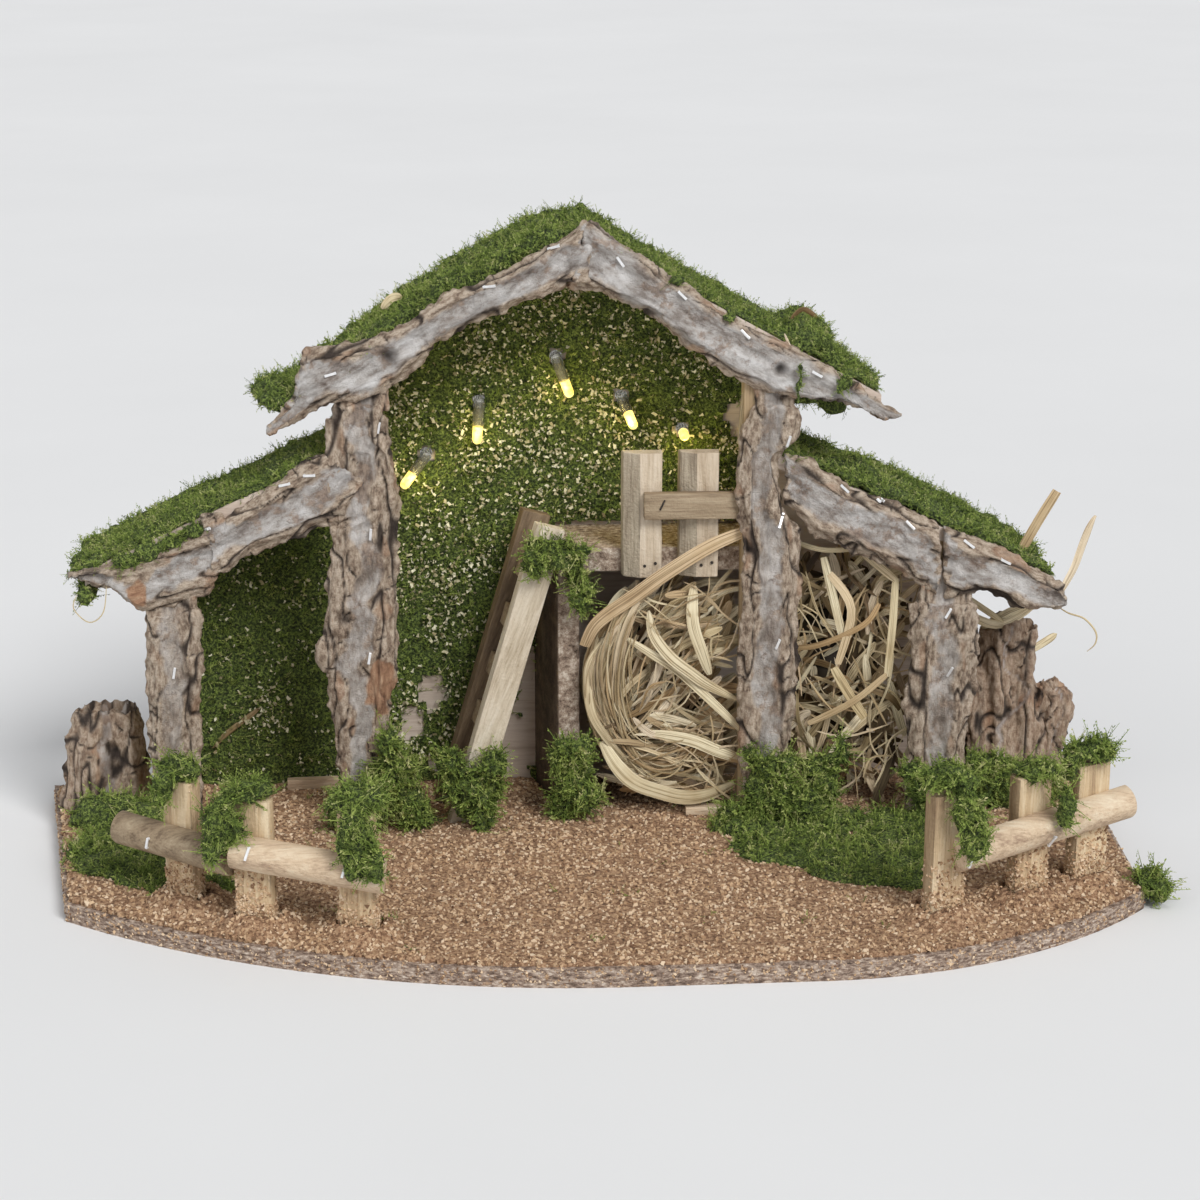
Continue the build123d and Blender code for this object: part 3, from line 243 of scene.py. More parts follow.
def merged(*names):
    """Copies of CAD solids in one bmesh, with their loose triangles joined."""
    form = bmesh.new()
    for name in names:
        form.from_mesh(solids[name].data)
    bmesh.ops.remove_doubles(form, verts=form.verts, dist=1e-5)
    return form


def to_mesh(form, name):
    mesh = bpy.data.meshes.new(name)
    form.to_mesh(mesh)
    form.free()
    return mesh


def smoothed(mesh):
    for face in mesh.polygons:
        face.use_smooth = True


def piece(name, mesh, finish, replaced=()):
    """A piece of the object, riding with the whole."""
    mesh.name = name
    mesh.materials.clear()
    mesh.materials.append(finish)
    made = bpy.data.objects.new(name, mesh)
    bpy.context.collection.objects.link(made)
    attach(made, "root")
    if replaced:
        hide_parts(*replaced)
    return made


def draped_grid(name, across, up, toward, step):
    """A fine grid laid against a CAD solid from outside and cut off at its outline."""
    solid = merged(name)
    target = BVHTree.FromBMesh(solid)
    solid.free()
    low, high = (Vector(corner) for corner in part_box(name))
    span = high - low
    form = bmesh.new()
    bmesh.ops.create_grid(
        form,
        x_segments=int(span.dot(across) / step),
        y_segments=int(span.dot(up) / step),
        size=0.5,
    )
    missed = []
    for vert in form.verts:
        start = across * (low.dot(across) + (vert.co.x + 0.5) * span.dot(across))
        start += up * (low.dot(up) + (vert.co.y + 0.5) * span.dot(up))
        hit = target.ray_cast(start - toward, toward)
        if hit[0] is None:
            missed.append(vert)
        else:
            vert.co = hit[0]
    bmesh.ops.delete(form, geom=missed, context="VERTS")
    return form


def skirted(form, axis, level):
    """Closes the open edge of a sheet down to a level on an axis."""
    rim = [edge for edge in form.edges if edge.is_boundary]
    for part in bmesh.ops.extrude_edge_only(form, edges=rim)["geom"]:
        if isinstance(part, bmesh.types.BMVert):
            part.co[axis] = level


def scatter(name, carrier, shapes, count, smallest, largest, lean, seed, keep_carrier=False):
    """Loose bits strewn over a mesh by its cover value, each with its own tone, as one mesh."""
    bits = bpy.data.collections.new(name + "_bits")
    bpy.context.scene.collection.children.link(bits)
    for number, shape in enumerate(shapes):
        bits.objects.link(bpy.data.objects.new(name + "_bit_%d" % number, shape))
    tree = bpy.data.node_groups.new(name + "_strewing", "GeometryNodeTree")
    for way in ("INPUT", "OUTPUT"):
        tree.interface.new_socket("Geometry", in_out=way, socket_type="NodeSocketGeometry")
    bare = add_node(tree, "NodeGroupInput")["Geometry"]
    cover = add_node(tree, "GeometryNodeInputNamedAttribute", {"Name": "cover"}, data_type="FLOAT")["Attribute"]
    density = worked(tree, "MULTIPLY", cover, count / sum(face.area for face in carrier.polygons))
    spread = {"Mesh": bare, "Density": density, "Seed": seed}
    spots = add_node(tree, "GeometryNodeDistributePointsOnFaces", spread)
    swings = {"Min": (-lean, -lean, -math.pi), "Max": (lean, lean, math.pi), "Seed": seed + 1}
    swing = add_node(tree, "FunctionNodeRandomValue", swings, data_type="FLOAT_VECTOR")["Value"]
    swung = add_node(tree, "FunctionNodeEulerToRotation", {"Euler": swing})["Rotation"]
    turns = {"Rotation": spots["Rotation"], "Rotate By": swung}
    turn = add_node(tree, "FunctionNodeRotateRotation", turns, rotation_space="LOCAL")["Rotation"]
    sizes = {2: smallest, 3: largest, "Seed": seed + 2}
    size = add_node(tree, "FunctionNodeRandomValue", sizes, data_type="FLOAT")[1]
    choices = {"Collection": bits, "Separate Children": True, "Reset Children": True}
    shape = add_node(tree, "GeometryNodeCollectionInfo", choices)["Instances"]
    places = {"Points": spots["Points"], "Instance": shape, "Pick Instance": True, "Rotation": turn, "Scale": size}
    placed = add_node(tree, "GeometryNodeInstanceOnPoints", places)["Instances"]
    tones = {2: 0.15, "Seed": seed + 3}
    tone = add_node(tree, "FunctionNodeRandomValue", tones, data_type="FLOAT")[1]
    toned = {"Geometry": placed, "Name": "tone", "Value": tone}
    stored_tone = add_node(tree, "GeometryNodeStoreNamedAttribute", toned, data_type="FLOAT", domain="INSTANCE")
    last = add_node(tree, "GeometryNodeRealizeInstances", {"Geometry": stored_tone["Geometry"]})["Geometry"]
    if keep_carrier:
        join = tree.nodes.new("GeometryNodeJoinGeometry")
        for part in (last, bare):
            tree.links.new(part, join.inputs["Geometry"])
        last = join.outputs["Geometry"]
    add_node(tree, "NodeGroupOutput", {"Geometry": last})
    draft = bpy.data.objects.new(name + "_draft", carrier)
    bpy.context.collection.objects.link(draft)
    draft.modifiers.new("strewing", "NODES").node_group = tree
    seen = draft.evaluated_get(bpy.context.evaluated_depsgraph_get())
    strewn = bpy.data.meshes.new_from_object(seen)
    bpy.data.objects.remove(draft)
    for bit in list(bits.objects):
        bpy.data.objects.remove(bit)
    bpy.data.collections.remove(bits)
    bpy.data.node_groups.remove(tree)
    return strewn


def eased(value, low, high):
    """A soft step from 0 to 1 between two values."""
    share = min(max((value - low) / (high - low), 0), 1)
    return share * share * (3 - 2 * share)


def with_values(mesh, **values):
    """Stores a value for each vertex, for the strewing and the finishes to read."""
    for label, numbers in values.items():
        mesh.attributes.new(label, "FLOAT", "POINT").data.foreach_set("value", numbers)


def with_cover(mesh, covers):
    """Says how thickly bits lie at each vertex of a mesh, which has no tone of its own."""
    with_values(mesh, cover=covers, tone=[0.0] * len(covers))


def stored(tree, label):
    """A value that the vertices carry."""
    return add_node(tree, "ShaderNodeAttribute", attribute_name=label)


def bed_and_bits(tree, tone, bed_tone_with_gap_shade, bit_tone):
    """The bed's colour where there is no tone, and the bits' colour elsewhere."""
    return blended(tree, worked(tree, "GREATER_THAN", tone, 0.01), bed_tone_with_gap_shade, bit_tone)


granule_finish, tree, shader, place = new_finish("bark_granules", 0.95)
tone = stored(tree, "tone")["Fac"]
# The bed's dark low end is painted shade in the gaps between the granules; its other stops are the granules' own
# colour.
bed_tone_with_gap_shade = tinted(
    tree,
    mottle(tree, place, 520, 5, 0.7),
    [(0.34, (0.055, 0.028, 0.016)), (0.48, (0.27, 0.15, 0.082)), (0.62, (0.50, 0.33, 0.20))],
)
bit_tone = tinted(
    tree,
    tone,
    [
        (0.15, (0.16, 0.082, 0.045)),
        (0.30, (0.42, 0.26, 0.145)),
        (0.62, (0.63, 0.44, 0.27)),
        (0.97, (0.74, 0.58, 0.41)),
    ],
)
painted(shader, bed_and_bits(tree, tone, bed_tone_with_gap_shade, bit_tone))
embossed(tree, shader, mottle(tree, place, 1100, 3), 0.5 * MM)

board_top = 9 * MM
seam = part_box("base_rear_board")[0][1]
bed = draped_grid("ground_cover", RIGHT, BACK, DOWN, 1.5 * MM)
for vert in bed.verts:
    x, y, z = vert.co
    rise = 0.7 * noise.fractal(Vector((x, y, 0)) / (5 * MM), 1.0, 2.0, 3)
    rise += 0.5 * noise.noise(Vector((x, y, 0.7)) / (40 * MM))
    groove = abs(y - seam) < 1.1 * MM and noise.noise(Vector((x / 0.03, 0, 9))) > -0.2
    vert.co.z = z + (-1.6 if groove else max(rise, -0.9)) * MM
skirted(bed, 2, board_top)
bmesh.ops.recalc_face_normals(bed, faces=bed.faces)
bed_mesh = to_mesh(bed, "ground_bed")
smoothed(bed_mesh)
with_cover(bed_mesh, [eased(abs(vert.co.y - seam), 0.4 * MM, 1.6 * MM) for vert in bed_mesh.vertices])


def granule(seed):
    """A broken crumb: a three-sided splinter with its corners pulled about."""
    draw = random.Random(seed)
    form = bmesh.new()
    bmesh.ops.create_cone(
        form, cap_ends=True, segments=3, radius1=1.1 * MM, radius2=0.7 * MM, depth=1.3 * MM
    )
    for vert in form.verts:
        vert.co *= draw.uniform(0.6, 1.3)
        vert.co.x *= draw.uniform(0.9, 1.7)
    return to_mesh(form, "granule_%d" % seed)


granules = [granule(seed) for seed in range(7)]
loose_mesh = scatter("ground_granules", bed_mesh, granules, 22500, 0.4, 1.15, lean=1.3, seed=11)
piece("ground_bed", bed_mesh, granule_finish, ["ground_cover"])
piece("ground_granules", loose_mesh, granule_finish)
rim = merged("base_front_board", "base_rear_board")
hidden = []
for face in rim.faces:
    in_seam = abs(face.calc_center_median().y - seam) < MM and abs(face.normal.y) > 0.9
    if in_seam or abs(face.normal.z) > 0.5:
        hidden.append(face)
bmesh.ops.delete(rim, geom=hidden, context="FACES")
rim_mesh = to_mesh(rim, "rim_sides")
with_cover(rim_mesh, [eased(vert.co.z, 3 * MM, 7 * MM) for vert in rim_mesh.vertices])
rim_bits = scatter("rim_crumbs", rim_mesh, granules, 5200, 0.3, 0.8, lean=1.3, seed=17)
for vert in rim_bits.vertices:
    vert.co.z = max(vert.co.z, 0.4 * MM)
piece("rim_crumbs", rim_bits, granule_finish)
bpy.data.meshes.remove(rim_mesh)

# Carcass: a plywood back wall, plywood roof boards nailed to softwood posts. Little of it shows
# behind the bark and moss from the front, and all of it from the back.
ply_finish = wood_finish(
    "bare_plywood", (0.50, 0.39, 0.31), (0.66, 0.55, 0.46), (0.75, 0.65, 0.56), ALONG_X, relief=0.15
)
finish_solids(
    ply_finish, "back_wall", "main_roof_left", "main_roof_right", "lean_roof_left", "lean_roof_right"
)
timber_finish = wood_finish("softwood_post", (0.26, 0.17, 0.09), (0.42, 0.30, 0.17), (0.55, 0.42, 0.26))
finish_solids(timber_finish, "main_post_left", "main_post_right", "outer_post_left", "outer_post_right")

# Bark facings: split strips of pine bark, a smooth grey valley between furrowed brown edges that
# are torn in places. Each is stapled to the timber behind it. The stumps are thick bark blocks.
bark_finish, tree, shader, place = new_finish("pine_bark", 0.85)
lay = stored(tree, "lay")["Vector"]
corky = mottle(tree, stretched(tree, lay, (1, 0.45, 1)), 420, 7, 0.7)
rough_tone = tinted(
    tree,
    corky,
    [
        (0.30, (0.085, 0.055, 0.038)),
        (0.42, (0.27, 0.195, 0.138)),
        (0.52, (0.48, 0.378, 0.285)),
        (0.62, (0.64, 0.535, 0.425)),
        (0.74, (0.42, 0.260, 0.160)),
    ],
)
blotches = mottle(tree, stretched(tree, lay, (1, 0.5, 1)), 85, 9, 0.68)
flecks = mottle(tree, stretched(tree, lay, (1, 0.3, 1)), 520, 6, 0.75)
lichen = worked(tree, "ADD", worked(tree, "MULTIPLY", blotches, 0.74), worked(tree, "MULTIPLY", flecks, 0.26))
grey_tone = tinted(
    tree,
    lichen,
    [
        (0.36, (0.115, 0.086, 0.070)),
        (0.43, (0.290, 0.248, 0.218)),
        (0.49, (0.450, 0.415, 0.385)),
        (0.56, (0.610, 0.580, 0.555)),
        (0.65, (0.740, 0.720, 0.705)),
    ],
)
stain = tinted(tree, mottle(tree, place, 75, 9, 0.68), [(0.53, (0, 0, 0)), (0.60, (0.8, 0.8, 0.8))])
brown_tone = tinted(tree, corky, [(0.35, (0.14, 0.092, 0.068)), (0.65, (0.46, 0.34, 0.255))])
torn_tone = tinted(
    tree,
    mottle(tree, stretched(tree, lay, (1, 0.22, 1)), 380, 6, 0.65),
    [(0.32, (0.19, 0.095, 0.054)), (0.50, (0.40, 0.225, 0.132)), (0.68, (0.60, 0.40, 0.26))],
)
# Near black in the cracks and knot pits: painted shade in these recesses.
crack_shade_tone = tinted(tree, corky, [(0.3, (0.016, 0.011, 0.008)), (0.7, (0.075, 0.052, 0.04))])
bark_tone = blended(tree, stored(tree, "valley")["Fac"], rough_tone, blended(tree, stain, grey_tone, brown_tone))
bark_tone = blended(tree, stored(tree, "torn")["Fac"], bark_tone, torn_tone)
painted(shader, blended(tree, stored(tree, "crack")["Fac"], bark_tone, crack_shade_tone))
grit = worked(tree, "ADD", worked(tree, "ADD", corky, lichen), mottle(tree, lay, 1500, 3, 0.6))
embossed(tree, shader, grit, 1.1 * MM)


def remeshed(form, voxel):
    """The same form as an even skin of small faces, as a mesh."""
    draft = bpy.data.objects.new("draft", to_mesh(form, "draft"))
    bpy.context.collection.objects.link(draft)
    skin = draft.modifiers.new("skin", "REMESH")
    skin.mode = "VOXEL"
    skin.voxel_size = voxel
    even = bpy.data.meshes.new_from_object(draft.evaluated_get(bpy.context.evaluated_depsgraph_get()))
    bpy.data.meshes.remove(draft.data)
    return even


def with_lumps(form, lumps):
    """Adds rounded lumps, each X, Y, Z and half sizes in mm."""
    for x, y, z, half_x, half_y, half_z in lumps:
        at = Matrix.Translation(Vector((x, y, z)) * MM) @ Matrix.Diagonal((half_x, half_y, half_z, 1))
        bmesh.ops.create_icosphere(form, subdivisions=3, radius=MM, matrix=at)


bark_back = 53.8
row_step = 4


def bark_skin(
    name, seed, valley_share, knots=(), tears=(), fills=(), lumps=(), jag=0.0, voxel=0.95, grey=1.0, warm=0.0
):
    """A bark form over its CAD solid, in mm: knots are X, Z and radius, tears X, Z and half sizes.

    Fills are X, Z, half sizes and front of the flaps that close the joints to the next strips. Jag is
    the height of the splinters on a broken top. Grey is how much of the valley's own colour shows, the
    rest taking the rough edge colour; the outer left post's low grey is painted shade from the roof above
    it. Warm is how much of the inner bark's colour shows.
    """
    form = merged(name)
    with_lumps(form, lumps)
    for fill_x, fill_z, half_x, half_z, front in fills:
        at = Matrix.Translation(Vector((fill_x, (front + bark_back) / 2, fill_z)) * MM)
        at @= Matrix.Diagonal((2 * half_x, bark_back - front, 2 * half_z, 1))
        bmesh.ops.create_cube(form, size=MM, matrix=at)
    skin = remeshed(form, voxel * MM)
    spots = [vert.co.copy() for vert in skin.vertices]
    normals = [normal.vector.copy() for normal in skin.vertex_normals]

    # The strip's long axis, and how wide it is at each row along that
    middle = sum(spots, Vector()) / len(spots)
    spread_x = sum((spot.x - middle.x) ** 2 for spot in spots)
    spread_z = sum((spot.z - middle.z) ** 2 for spot in spots)
    shared = sum((spot.x - middle.x) * (spot.z - middle.z) for spot in spots)
    turn = 0.5 * math.atan2(2 * shared, spread_x - spread_z)
    along = Vector((math.cos(turn), 0, math.sin(turn)))
    across = Vector((-math.sin(turn), 0, math.cos(turn)))
    rows = {}
    for spot in spots:
        row = round((spot - middle).dot(along) / (row_step * MM))
        side = (spot - middle).dot(across)
        low, high = rows.get(row, (side, side))
        rows[row] = (min(low, side), max(high, side))

    # Flakes, fibres and cracks on the edges, ripples in the valley, knots and torn patches
    values = {"valley": [], "crack": [], "torn": []}
    lays = []
    for vert, spot, normal in zip(skin.vertices, spots, normals):
        run = (spot - middle).dot(along) / MM
        side = (spot - middle).dot(across) / MM
        depth = spot.y / MM
        low, high = rows[round(run / row_step)]
        share = 2 * (side * MM - low) / max(high - low, MM) - 1
        wide = side + 2.4 * noise.noise(Vector((run / 15, side / 9, seed + 2)))
        long = run + 4 * noise.noise(Vector((run / 9, side / 6, seed + 7)))
        wander = 0.5 * noise.noise(Vector((run / 26, seed, 0))) + 0.2 * noise.noise(Vector((run / 8, seed, 3)))
        reach = valley_share * (1 + 0.3 * noise.noise(Vector((run / 18, seed + 4, 0))))
        valley = 1 - eased(abs(share + wander), 0.7 * reach, 1.05 * reach + 0.02)
        rough = 1 - valley
        lump = noise.noise(Vector((run / 20, side / 13, seed)))
        level = 2.3 * noise.fractal(Vector((wide / 8, long / 26, seed + depth / 12)), 0.9, 2.0, 4)
        flake = math.floor(level) + eased(level - math.floor(level), 0.2, 0.75)
        fibre = noise.fractal(Vector((wide / 1.7, long / 13, seed + depth / 3)), 0.8, 2.0, 3)
        split = 1 - eased(abs(noise.noise(Vector((wide / 8, long / 34, seed + 3)))), 0.012, 0.09)
        cross = 1 - eased(abs(noise.noise(Vector((wide / 24, long / 11, seed + 5)))), 0.008, 0.05)
        cross *= eased(noise.noise(Vector((run / 17, side / 9, seed + 6))), 0.0, 0.25)
        crack = max(split, cross) * (rough + 0.25 * valley)
        ripple = noise.fractal(Vector((run / 13, side / 9, seed + 8)), 0.9, 2.0, 3)
        torn = warm + 0.5 * rough * eased(noise.noise(Vector((long / 16, wide / 7, seed + 9))), 0.28, 0.45)
        rise = 1.9 * lump + rough * (0.85 * flake + 0.6 * fibre - 1.6 * crack)
        rise += valley * (1.7 * ripple + 0.35 * fibre - 0.8)
        for knot_x, knot_z, radius in knots:
            away = math.hypot(spot.x / MM - knot_x, spot.z / MM - knot_z) / radius
            ring = math.exp(-(((away - 0.85) / 0.3) ** 2))
            pit = math.exp(-((away / 0.45) ** 2))
            rise += 1.8 * ring - 2.2 * pit
            crack = max(crack, 0.9 * pit)
        for tear_x, tear_z, half_x, half_z in tears:
            away = math.hypot((spot.x / MM - tear_x) / half_x, (spot.z / MM - tear_z) / half_z)
            patch = 1 - eased(away + 0.45 * noise.noise(spot / (6 * MM)), 0.8, 0.95)
            torn = max(torn, patch)
            valley *= 1 - patch
            crack *= 1 - 0.7 * patch
            rise += patch * (1.2 * noise.noise(Vector((wide / 4, long / 14, seed))) - 0.4)
        ragged = 2.7 * noise.noise(spot / (10 * MM)) + 1.9 * noise.noise(spot / (4.2 * MM))
        ragged += 0.9 * noise.noise(spot / (1.9 * MM))
        front = max(-normal.y, 0)
        edge = 1 - abs(normal.y)
        vert.co = spot + normal * (front * rise + edge * ragged) * MM
        if jag > 0:
            splinter = noise.noise(Vector((spot.x / (4.5 * MM), spot.y / (4.5 * MM), seed)))
            vert.co.z += jag * max(normal.z, 0) * (splinter - 0.8) * MM
        values["valley"].append(grey * valley)
        values["crack"].append(min(crack, 1))
        values["torn"].append(min(torn, 1))
        lays += [side * MM, run * MM, spot.y + seed]
    with_values(skin, **values)
    skin.attributes.new("lay", "FLOAT_VECTOR", "POINT").data.foreach_set("vector", lays)
    smoothed(skin)
    return piece(name + "_skin", skin, bark_finish, [name])


bark_skins = [
    bark_skin(
        "bark_main_post_left",
        1,
        0.33,
        knots=[(-122, 118, 8)],
        tears=[(-106, 84, 8, 17)],
        fills=[(-114, 192, 15, 24, 48.5), (-112, 231, 13, 11, 51)],
        lumps=[(-132, 49, 100, 5, 3.5, 9)],
        grey=0.8,
    ),
    bark_skin("bark_main_post_right", 2, 0.42, fills=[(84, 226, 10, 12, 51.8), (76, 120, 6, 60, 50)], grey=0.8),
    # The outer left post's grey of 0.55 darkens its valley as painted shade under the left lean roof.
    bark_skin(
        "bark_outer_post_left", 3, 0.4, fills=[(-205, 128, 12, 14, 50.5), (-200, 45, 6, 34, 51)], grey=0.55
    ),
    bark_skin("bark_outer_post_right", 4, 0.36, fills=[(169, 126, 13, 14, 50.5)], grey=0.75),
    bark_skin("bark_barge_main_left", 5, 0.62, knots=[(-99, 246, 7)], fills=[(-9, 289, 5, 8, 46.5)]),
    bark_skin("bark_barge_main_right", 6, 0.85, knots=[(86, 238, 5)]),
    bark_skin("bark_barge_lean_left_inner", 7, 0.5, fills=[(-184, 164, 5, 7, 47), (-181, 152, 4, 9, 47.5)]),
    bark_skin("bark_barge_lean_left_outer", 8, 0.4, tears=[(-221, 132, 5, 7)]),
    bark_skin("bark_barge_lean_right_inner", 9, 0.55, fills=[(152, 152, 5, 7, 47)]),
    bark_skin("bark_barge_lean_right_outer", 10, 0.55),
]
log_lumps = [
    (221, 84, 34, 9, 9, 30), (205, 82, 24, 19, 12, 16), (192, 82, 48, 8, 8, 36), (207, 84, 92, 11, 9, 19),
    (227, 86, 58, 6, 8, 14),
]
bark_skin("bark_log_left", 11, 0.12, jag=6, voxel=1.1, warm=0.2)
bark_skin("bark_log_right", 12, 0.04, lumps=log_lumps, jag=7, voxel=1.1, warm=0.3)
bark_skin("bark_chip_right", 13, 0.04, jag=5, voxel=1.1, warm=0.3)

# Staples: bright wire driven through the bark and the fence rails. Each crown lies on the surface
# under it, with its legs going in at both ends.
staple_finish = flecked_finish("staple_wire", 0.3, 500, (0.78, 0.78, 0.79), (0.93, 0.93, 0.93), {"Metallic": 0.3})
half_crown = 2.3
wire_width = 1.25 * MM
leg_height = 2.6 * MM


def sight_of(objects):
    form = bmesh.new()
    for seen in objects:
        form.from_mesh(seen.data)
    target = BVHTree.FromBMesh(form)
    form.free()
    return target


def staple(form, target, spot, way, look):
    """A crown along a direction, laid on what the line of sight meets, with two short legs."""
    ends = []
    for side in (-half_crown, half_crown, 0):
        start = spot + way * side * MM
        hit = target.ray_cast(start - look * 0.05, look)
        ends.append(hit[0] if hit[0] else start)
    middle = (ends[0] + ends[1]) / 2
    lift = max((middle - ends[2]).dot(look), 0)
    middle -= look * (lift + 0.6 * MM)
    reach = ends[1] - ends[0]
    third = reach.normalized().cross(-look).normalized()
    turn = Matrix((reach.normalized(), third, third.cross(reach.normalized()) * -1)).transposed().to_4x4()
    leg = (MM, wire_width, leg_height + 2 * lift, 1)
    for size, end in (((reach.length + MM, wire_width, 0.8 * MM, 1), 0), (leg, -1), (leg, 1)):
        at = Matrix.Translation(middle + reach * 0.5 * end + look * abs(end) * (MM + lift))
        block = bmesh.ops.create_cube(form, size=1, matrix=at @ turn @ Matrix.Diagonal(size))
        edges = {edge for vert in block["verts"] for edge in vert.link_edges}
        bmesh.ops.bevel(
            form, geom=list(edges), offset=0.22 * MM, affect="EDGES", segments=2, profile=0.5, material=-1
        )


# Each staple's X and Z in mm and its angle
bark_staple_spots = [
    (-21, 297, 20), (-51, 279, 10), (-126, 238, 15), (10, 290, -55), (39, 274, -45), (69, 255, -45),
    (103, 236, -30), (90, 204, 75), (87, 164, 70), (87, 102, 70), (-104, 212, 80), (-109, 160, 85),
    (-111, 98, 80), (-187, 164, 20), (-149, 185, 15), (-137, 190, 5), (118, 179, -45), (135, 174, -40),
    (150, 161, -45), (179, 151, -35), (197, 142, -30), (-205, 92, 80), (170, 116, 60), (172, 86, 65),
]
wires = bmesh.new()
bark_sight = sight_of(bark_skins)
for x, z, angle in bark_staple_spots:
    turn = math.radians(angle)
    staple(wires, bark_sight, Vector((x, 40, z)) * MM, Vector((math.cos(turn), 0, math.sin(turn))), BACK)
wire_mesh = to_mesh(wires, "bark_staple_wires")
piece("bark_staple_wires", wire_mesh, staple_finish, ["bark_staples"])

# Loft: a chipboard shelf on a slanted upright board, with two split posts and a rail in front. The
# boards are sawn, and bark dust lies on their edges; brads go up into the posts, a nail into the rail.
board_finish, tree, shader, place = new_finish("loft_chipboard", 0.9)
board_flakes = mottle(tree, place, 330, 7, 0.75)
board_tone = tinted(
    tree,
    board_flakes,
    [
        (0.34, (0.09, 0.06, 0.043)),
        (0.45, (0.29, 0.21, 0.155)),
        (0.54, (0.47, 0.375, 0.29)),
        (0.65, (0.76, 0.68, 0.58)),
    ],
)
painted(shader, board_tone)
embossed(tree, shader, board_flakes, 0.9 * MM)
# The partition's and floor's faces turned left take this dark brown finish as painted shade.
board_shade_finish = wood_finish(
    "partition_painted_shade", (0.045, 0.03, 0.02), (0.12, 0.083, 0.056), (0.22, 0.16, 0.11), ALONG_X, 0.5, 0.1
)
post_finish = wood_finish(
    "loft_post_pine", (0.40, 0.30, 0.20), (0.60, 0.49, 0.36), (0.74, 0.64, 0.51), relief=0.5, dust=0.08
)
# The posts' faces turned left take this finish: its darker colour is painted shade, its deeper relief their split
# grain.
post_shade_finish = wood_finish(
    "loft_post_painted_shade", (0.20, 0.15, 0.10), (0.40, 0.33, 0.24), (0.56, 0.48, 0.36), relief=0.9, dust=0.1
)
old_rail_finish = wood_finish(
    "weathered_rail", (0.15, 0.10, 0.06), (0.33, 0.245, 0.155), (0.47, 0.37, 0.25), ALONG_X, 0.5, 0.2
)
brad_finish = flecked_finish(
    "dark_brad", 0.5, 900, (0.02, 0.016, 0.014), (0.10, 0.085, 0.075), {"Metallic": 0.7}
)
finish_solids(brad_finish, "loft_brads")


def worn(name, width, finish, sway, rounds=2, painted_shade_finish=None, girth=0.0):
    """A CAD solid with its arrises worn round, and its faces a little uneven.

    The split faces that turn left take the darker finish, where there is one, as painted shade. A girth in mm is
    the radius to which the corners of a round stake are peeled.
    """
    low, high = (Vector(corner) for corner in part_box(name))
    core = (low + high) / 2
    form = merged(name)
    bmesh.ops.dissolve_limit(form, angle_limit=math.radians(2), verts=form.verts, edges=form.edges)
    sharp = [edge for edge in form.edges if edge.is_manifold and edge.calc_face_angle() > math.radians(25)]
    bmesh.ops.bevel(
        form,
        geom=sharp,
        offset=width * MM,
        affect="EDGES",
        segments=rounds,
        profile=0.5,
        material=-1,
        clamp_overlap=True,
    )
    bmesh.ops.triangulate(form, faces=form.faces)
    long_edges = [edge for edge in form.edges if edge.calc_length() > 6 * MM]
    bmesh.ops.subdivide_edges(form, edges=long_edges, cuts=3, use_grid_fill=True)
    for vert in form.verts:
        away = math.hypot(vert.co.x - core.x, vert.co.y - core.y) / MM
        if 0 < girth < away:
            vert.co.x = core.x + (vert.co.x - core.x) * girth / away
            vert.co.y = core.y + (vert.co.y - core.y) * girth / away
        shift = noise.noise_vector(vert.co / 0.009)
        vert.co += Vector((shift.x, shift.y, 0)) * sway * MM
    mesh = to_mesh(form, name + "_worn")
    smoothed(mesh)
    mesh.set_sharp_from_angle(angle=math.radians(40))
    made = piece(name + "_worn", mesh, finish, [name])
    # Faces turned left take the second, darker finish: painted shade on the side away from the light.
    if painted_shade_finish:
        mesh.materials.append(painted_shade_finish)
        for face in mesh.polygons:
            face.material_index = int(face.normal.x < -0.25)
    return made


for name in ("loft_partition", "loft_floor"):
    worn(name, 0.6, board_finish, 0.25, painted_shade_finish=board_shade_finish)
for name in ("loft_fence_post_left", "loft_fence_post_right"):
    worn(name, 0.5, post_finish, 0.3, painted_shade_finish=post_shade_finish)
worn("loft_fence_rail", 0.6, old_rail_finish, 0.3)
nail = bmesh.new()
shank = Matrix.Translation(Vector((30.8, 53.7, 171)) * MM) @ Matrix.Rotation(math.radians(25), 4, "Y")
bmesh.ops.create_cone(
    nail, cap_ends=True, segments=8, radius1=0.5 * MM, radius2=0.4 * MM, depth=5.4 * MM, matrix=shank
)
piece("loft_rail_nail", to_mesh(nail, "loft_rail_nail"), brad_finish)

# Ladder: two flat sawn side rails with five rungs let in between them. It leans on the loft's edge
# and stands on the ground.
ladder_run = (0, -22, 0)
pale_finish = wood_finish(
    "sawn_lath", (0.38, 0.30, 0.20), (0.62, 0.53, 0.40), (0.76, 0.68, 0.555), ladder_run, 0.35, 0.16
)
# The back rail's dark brown finish is painted shadow.
lath_shadow_finish = wood_finish(
    "lath_painted_shadow", (0.08, 0.05, 0.028), (0.17, 0.115, 0.065), (0.27, 0.195, 0.12), ladder_run, 0.35, 0.10
)
worn("ladder_rail_front", 0.4, pale_finish, 0.15)
worn("ladder_rail_back", 0.4, lath_shadow_finish, 0.15)
worn("ladder_rungs", 0.4, old_rail_finish, 0.1)

# Fences: split stakes standing in the granules, with half-round rails stapled across their fronts.
# Granules of the ground stick to the stakes' feet.
split_finish = wood_finish(
    "split_pine", (0.34, 0.22, 0.125), (0.63, 0.465, 0.28), (0.77, 0.63, 0.43), relief=0.5, dust=0.16
)
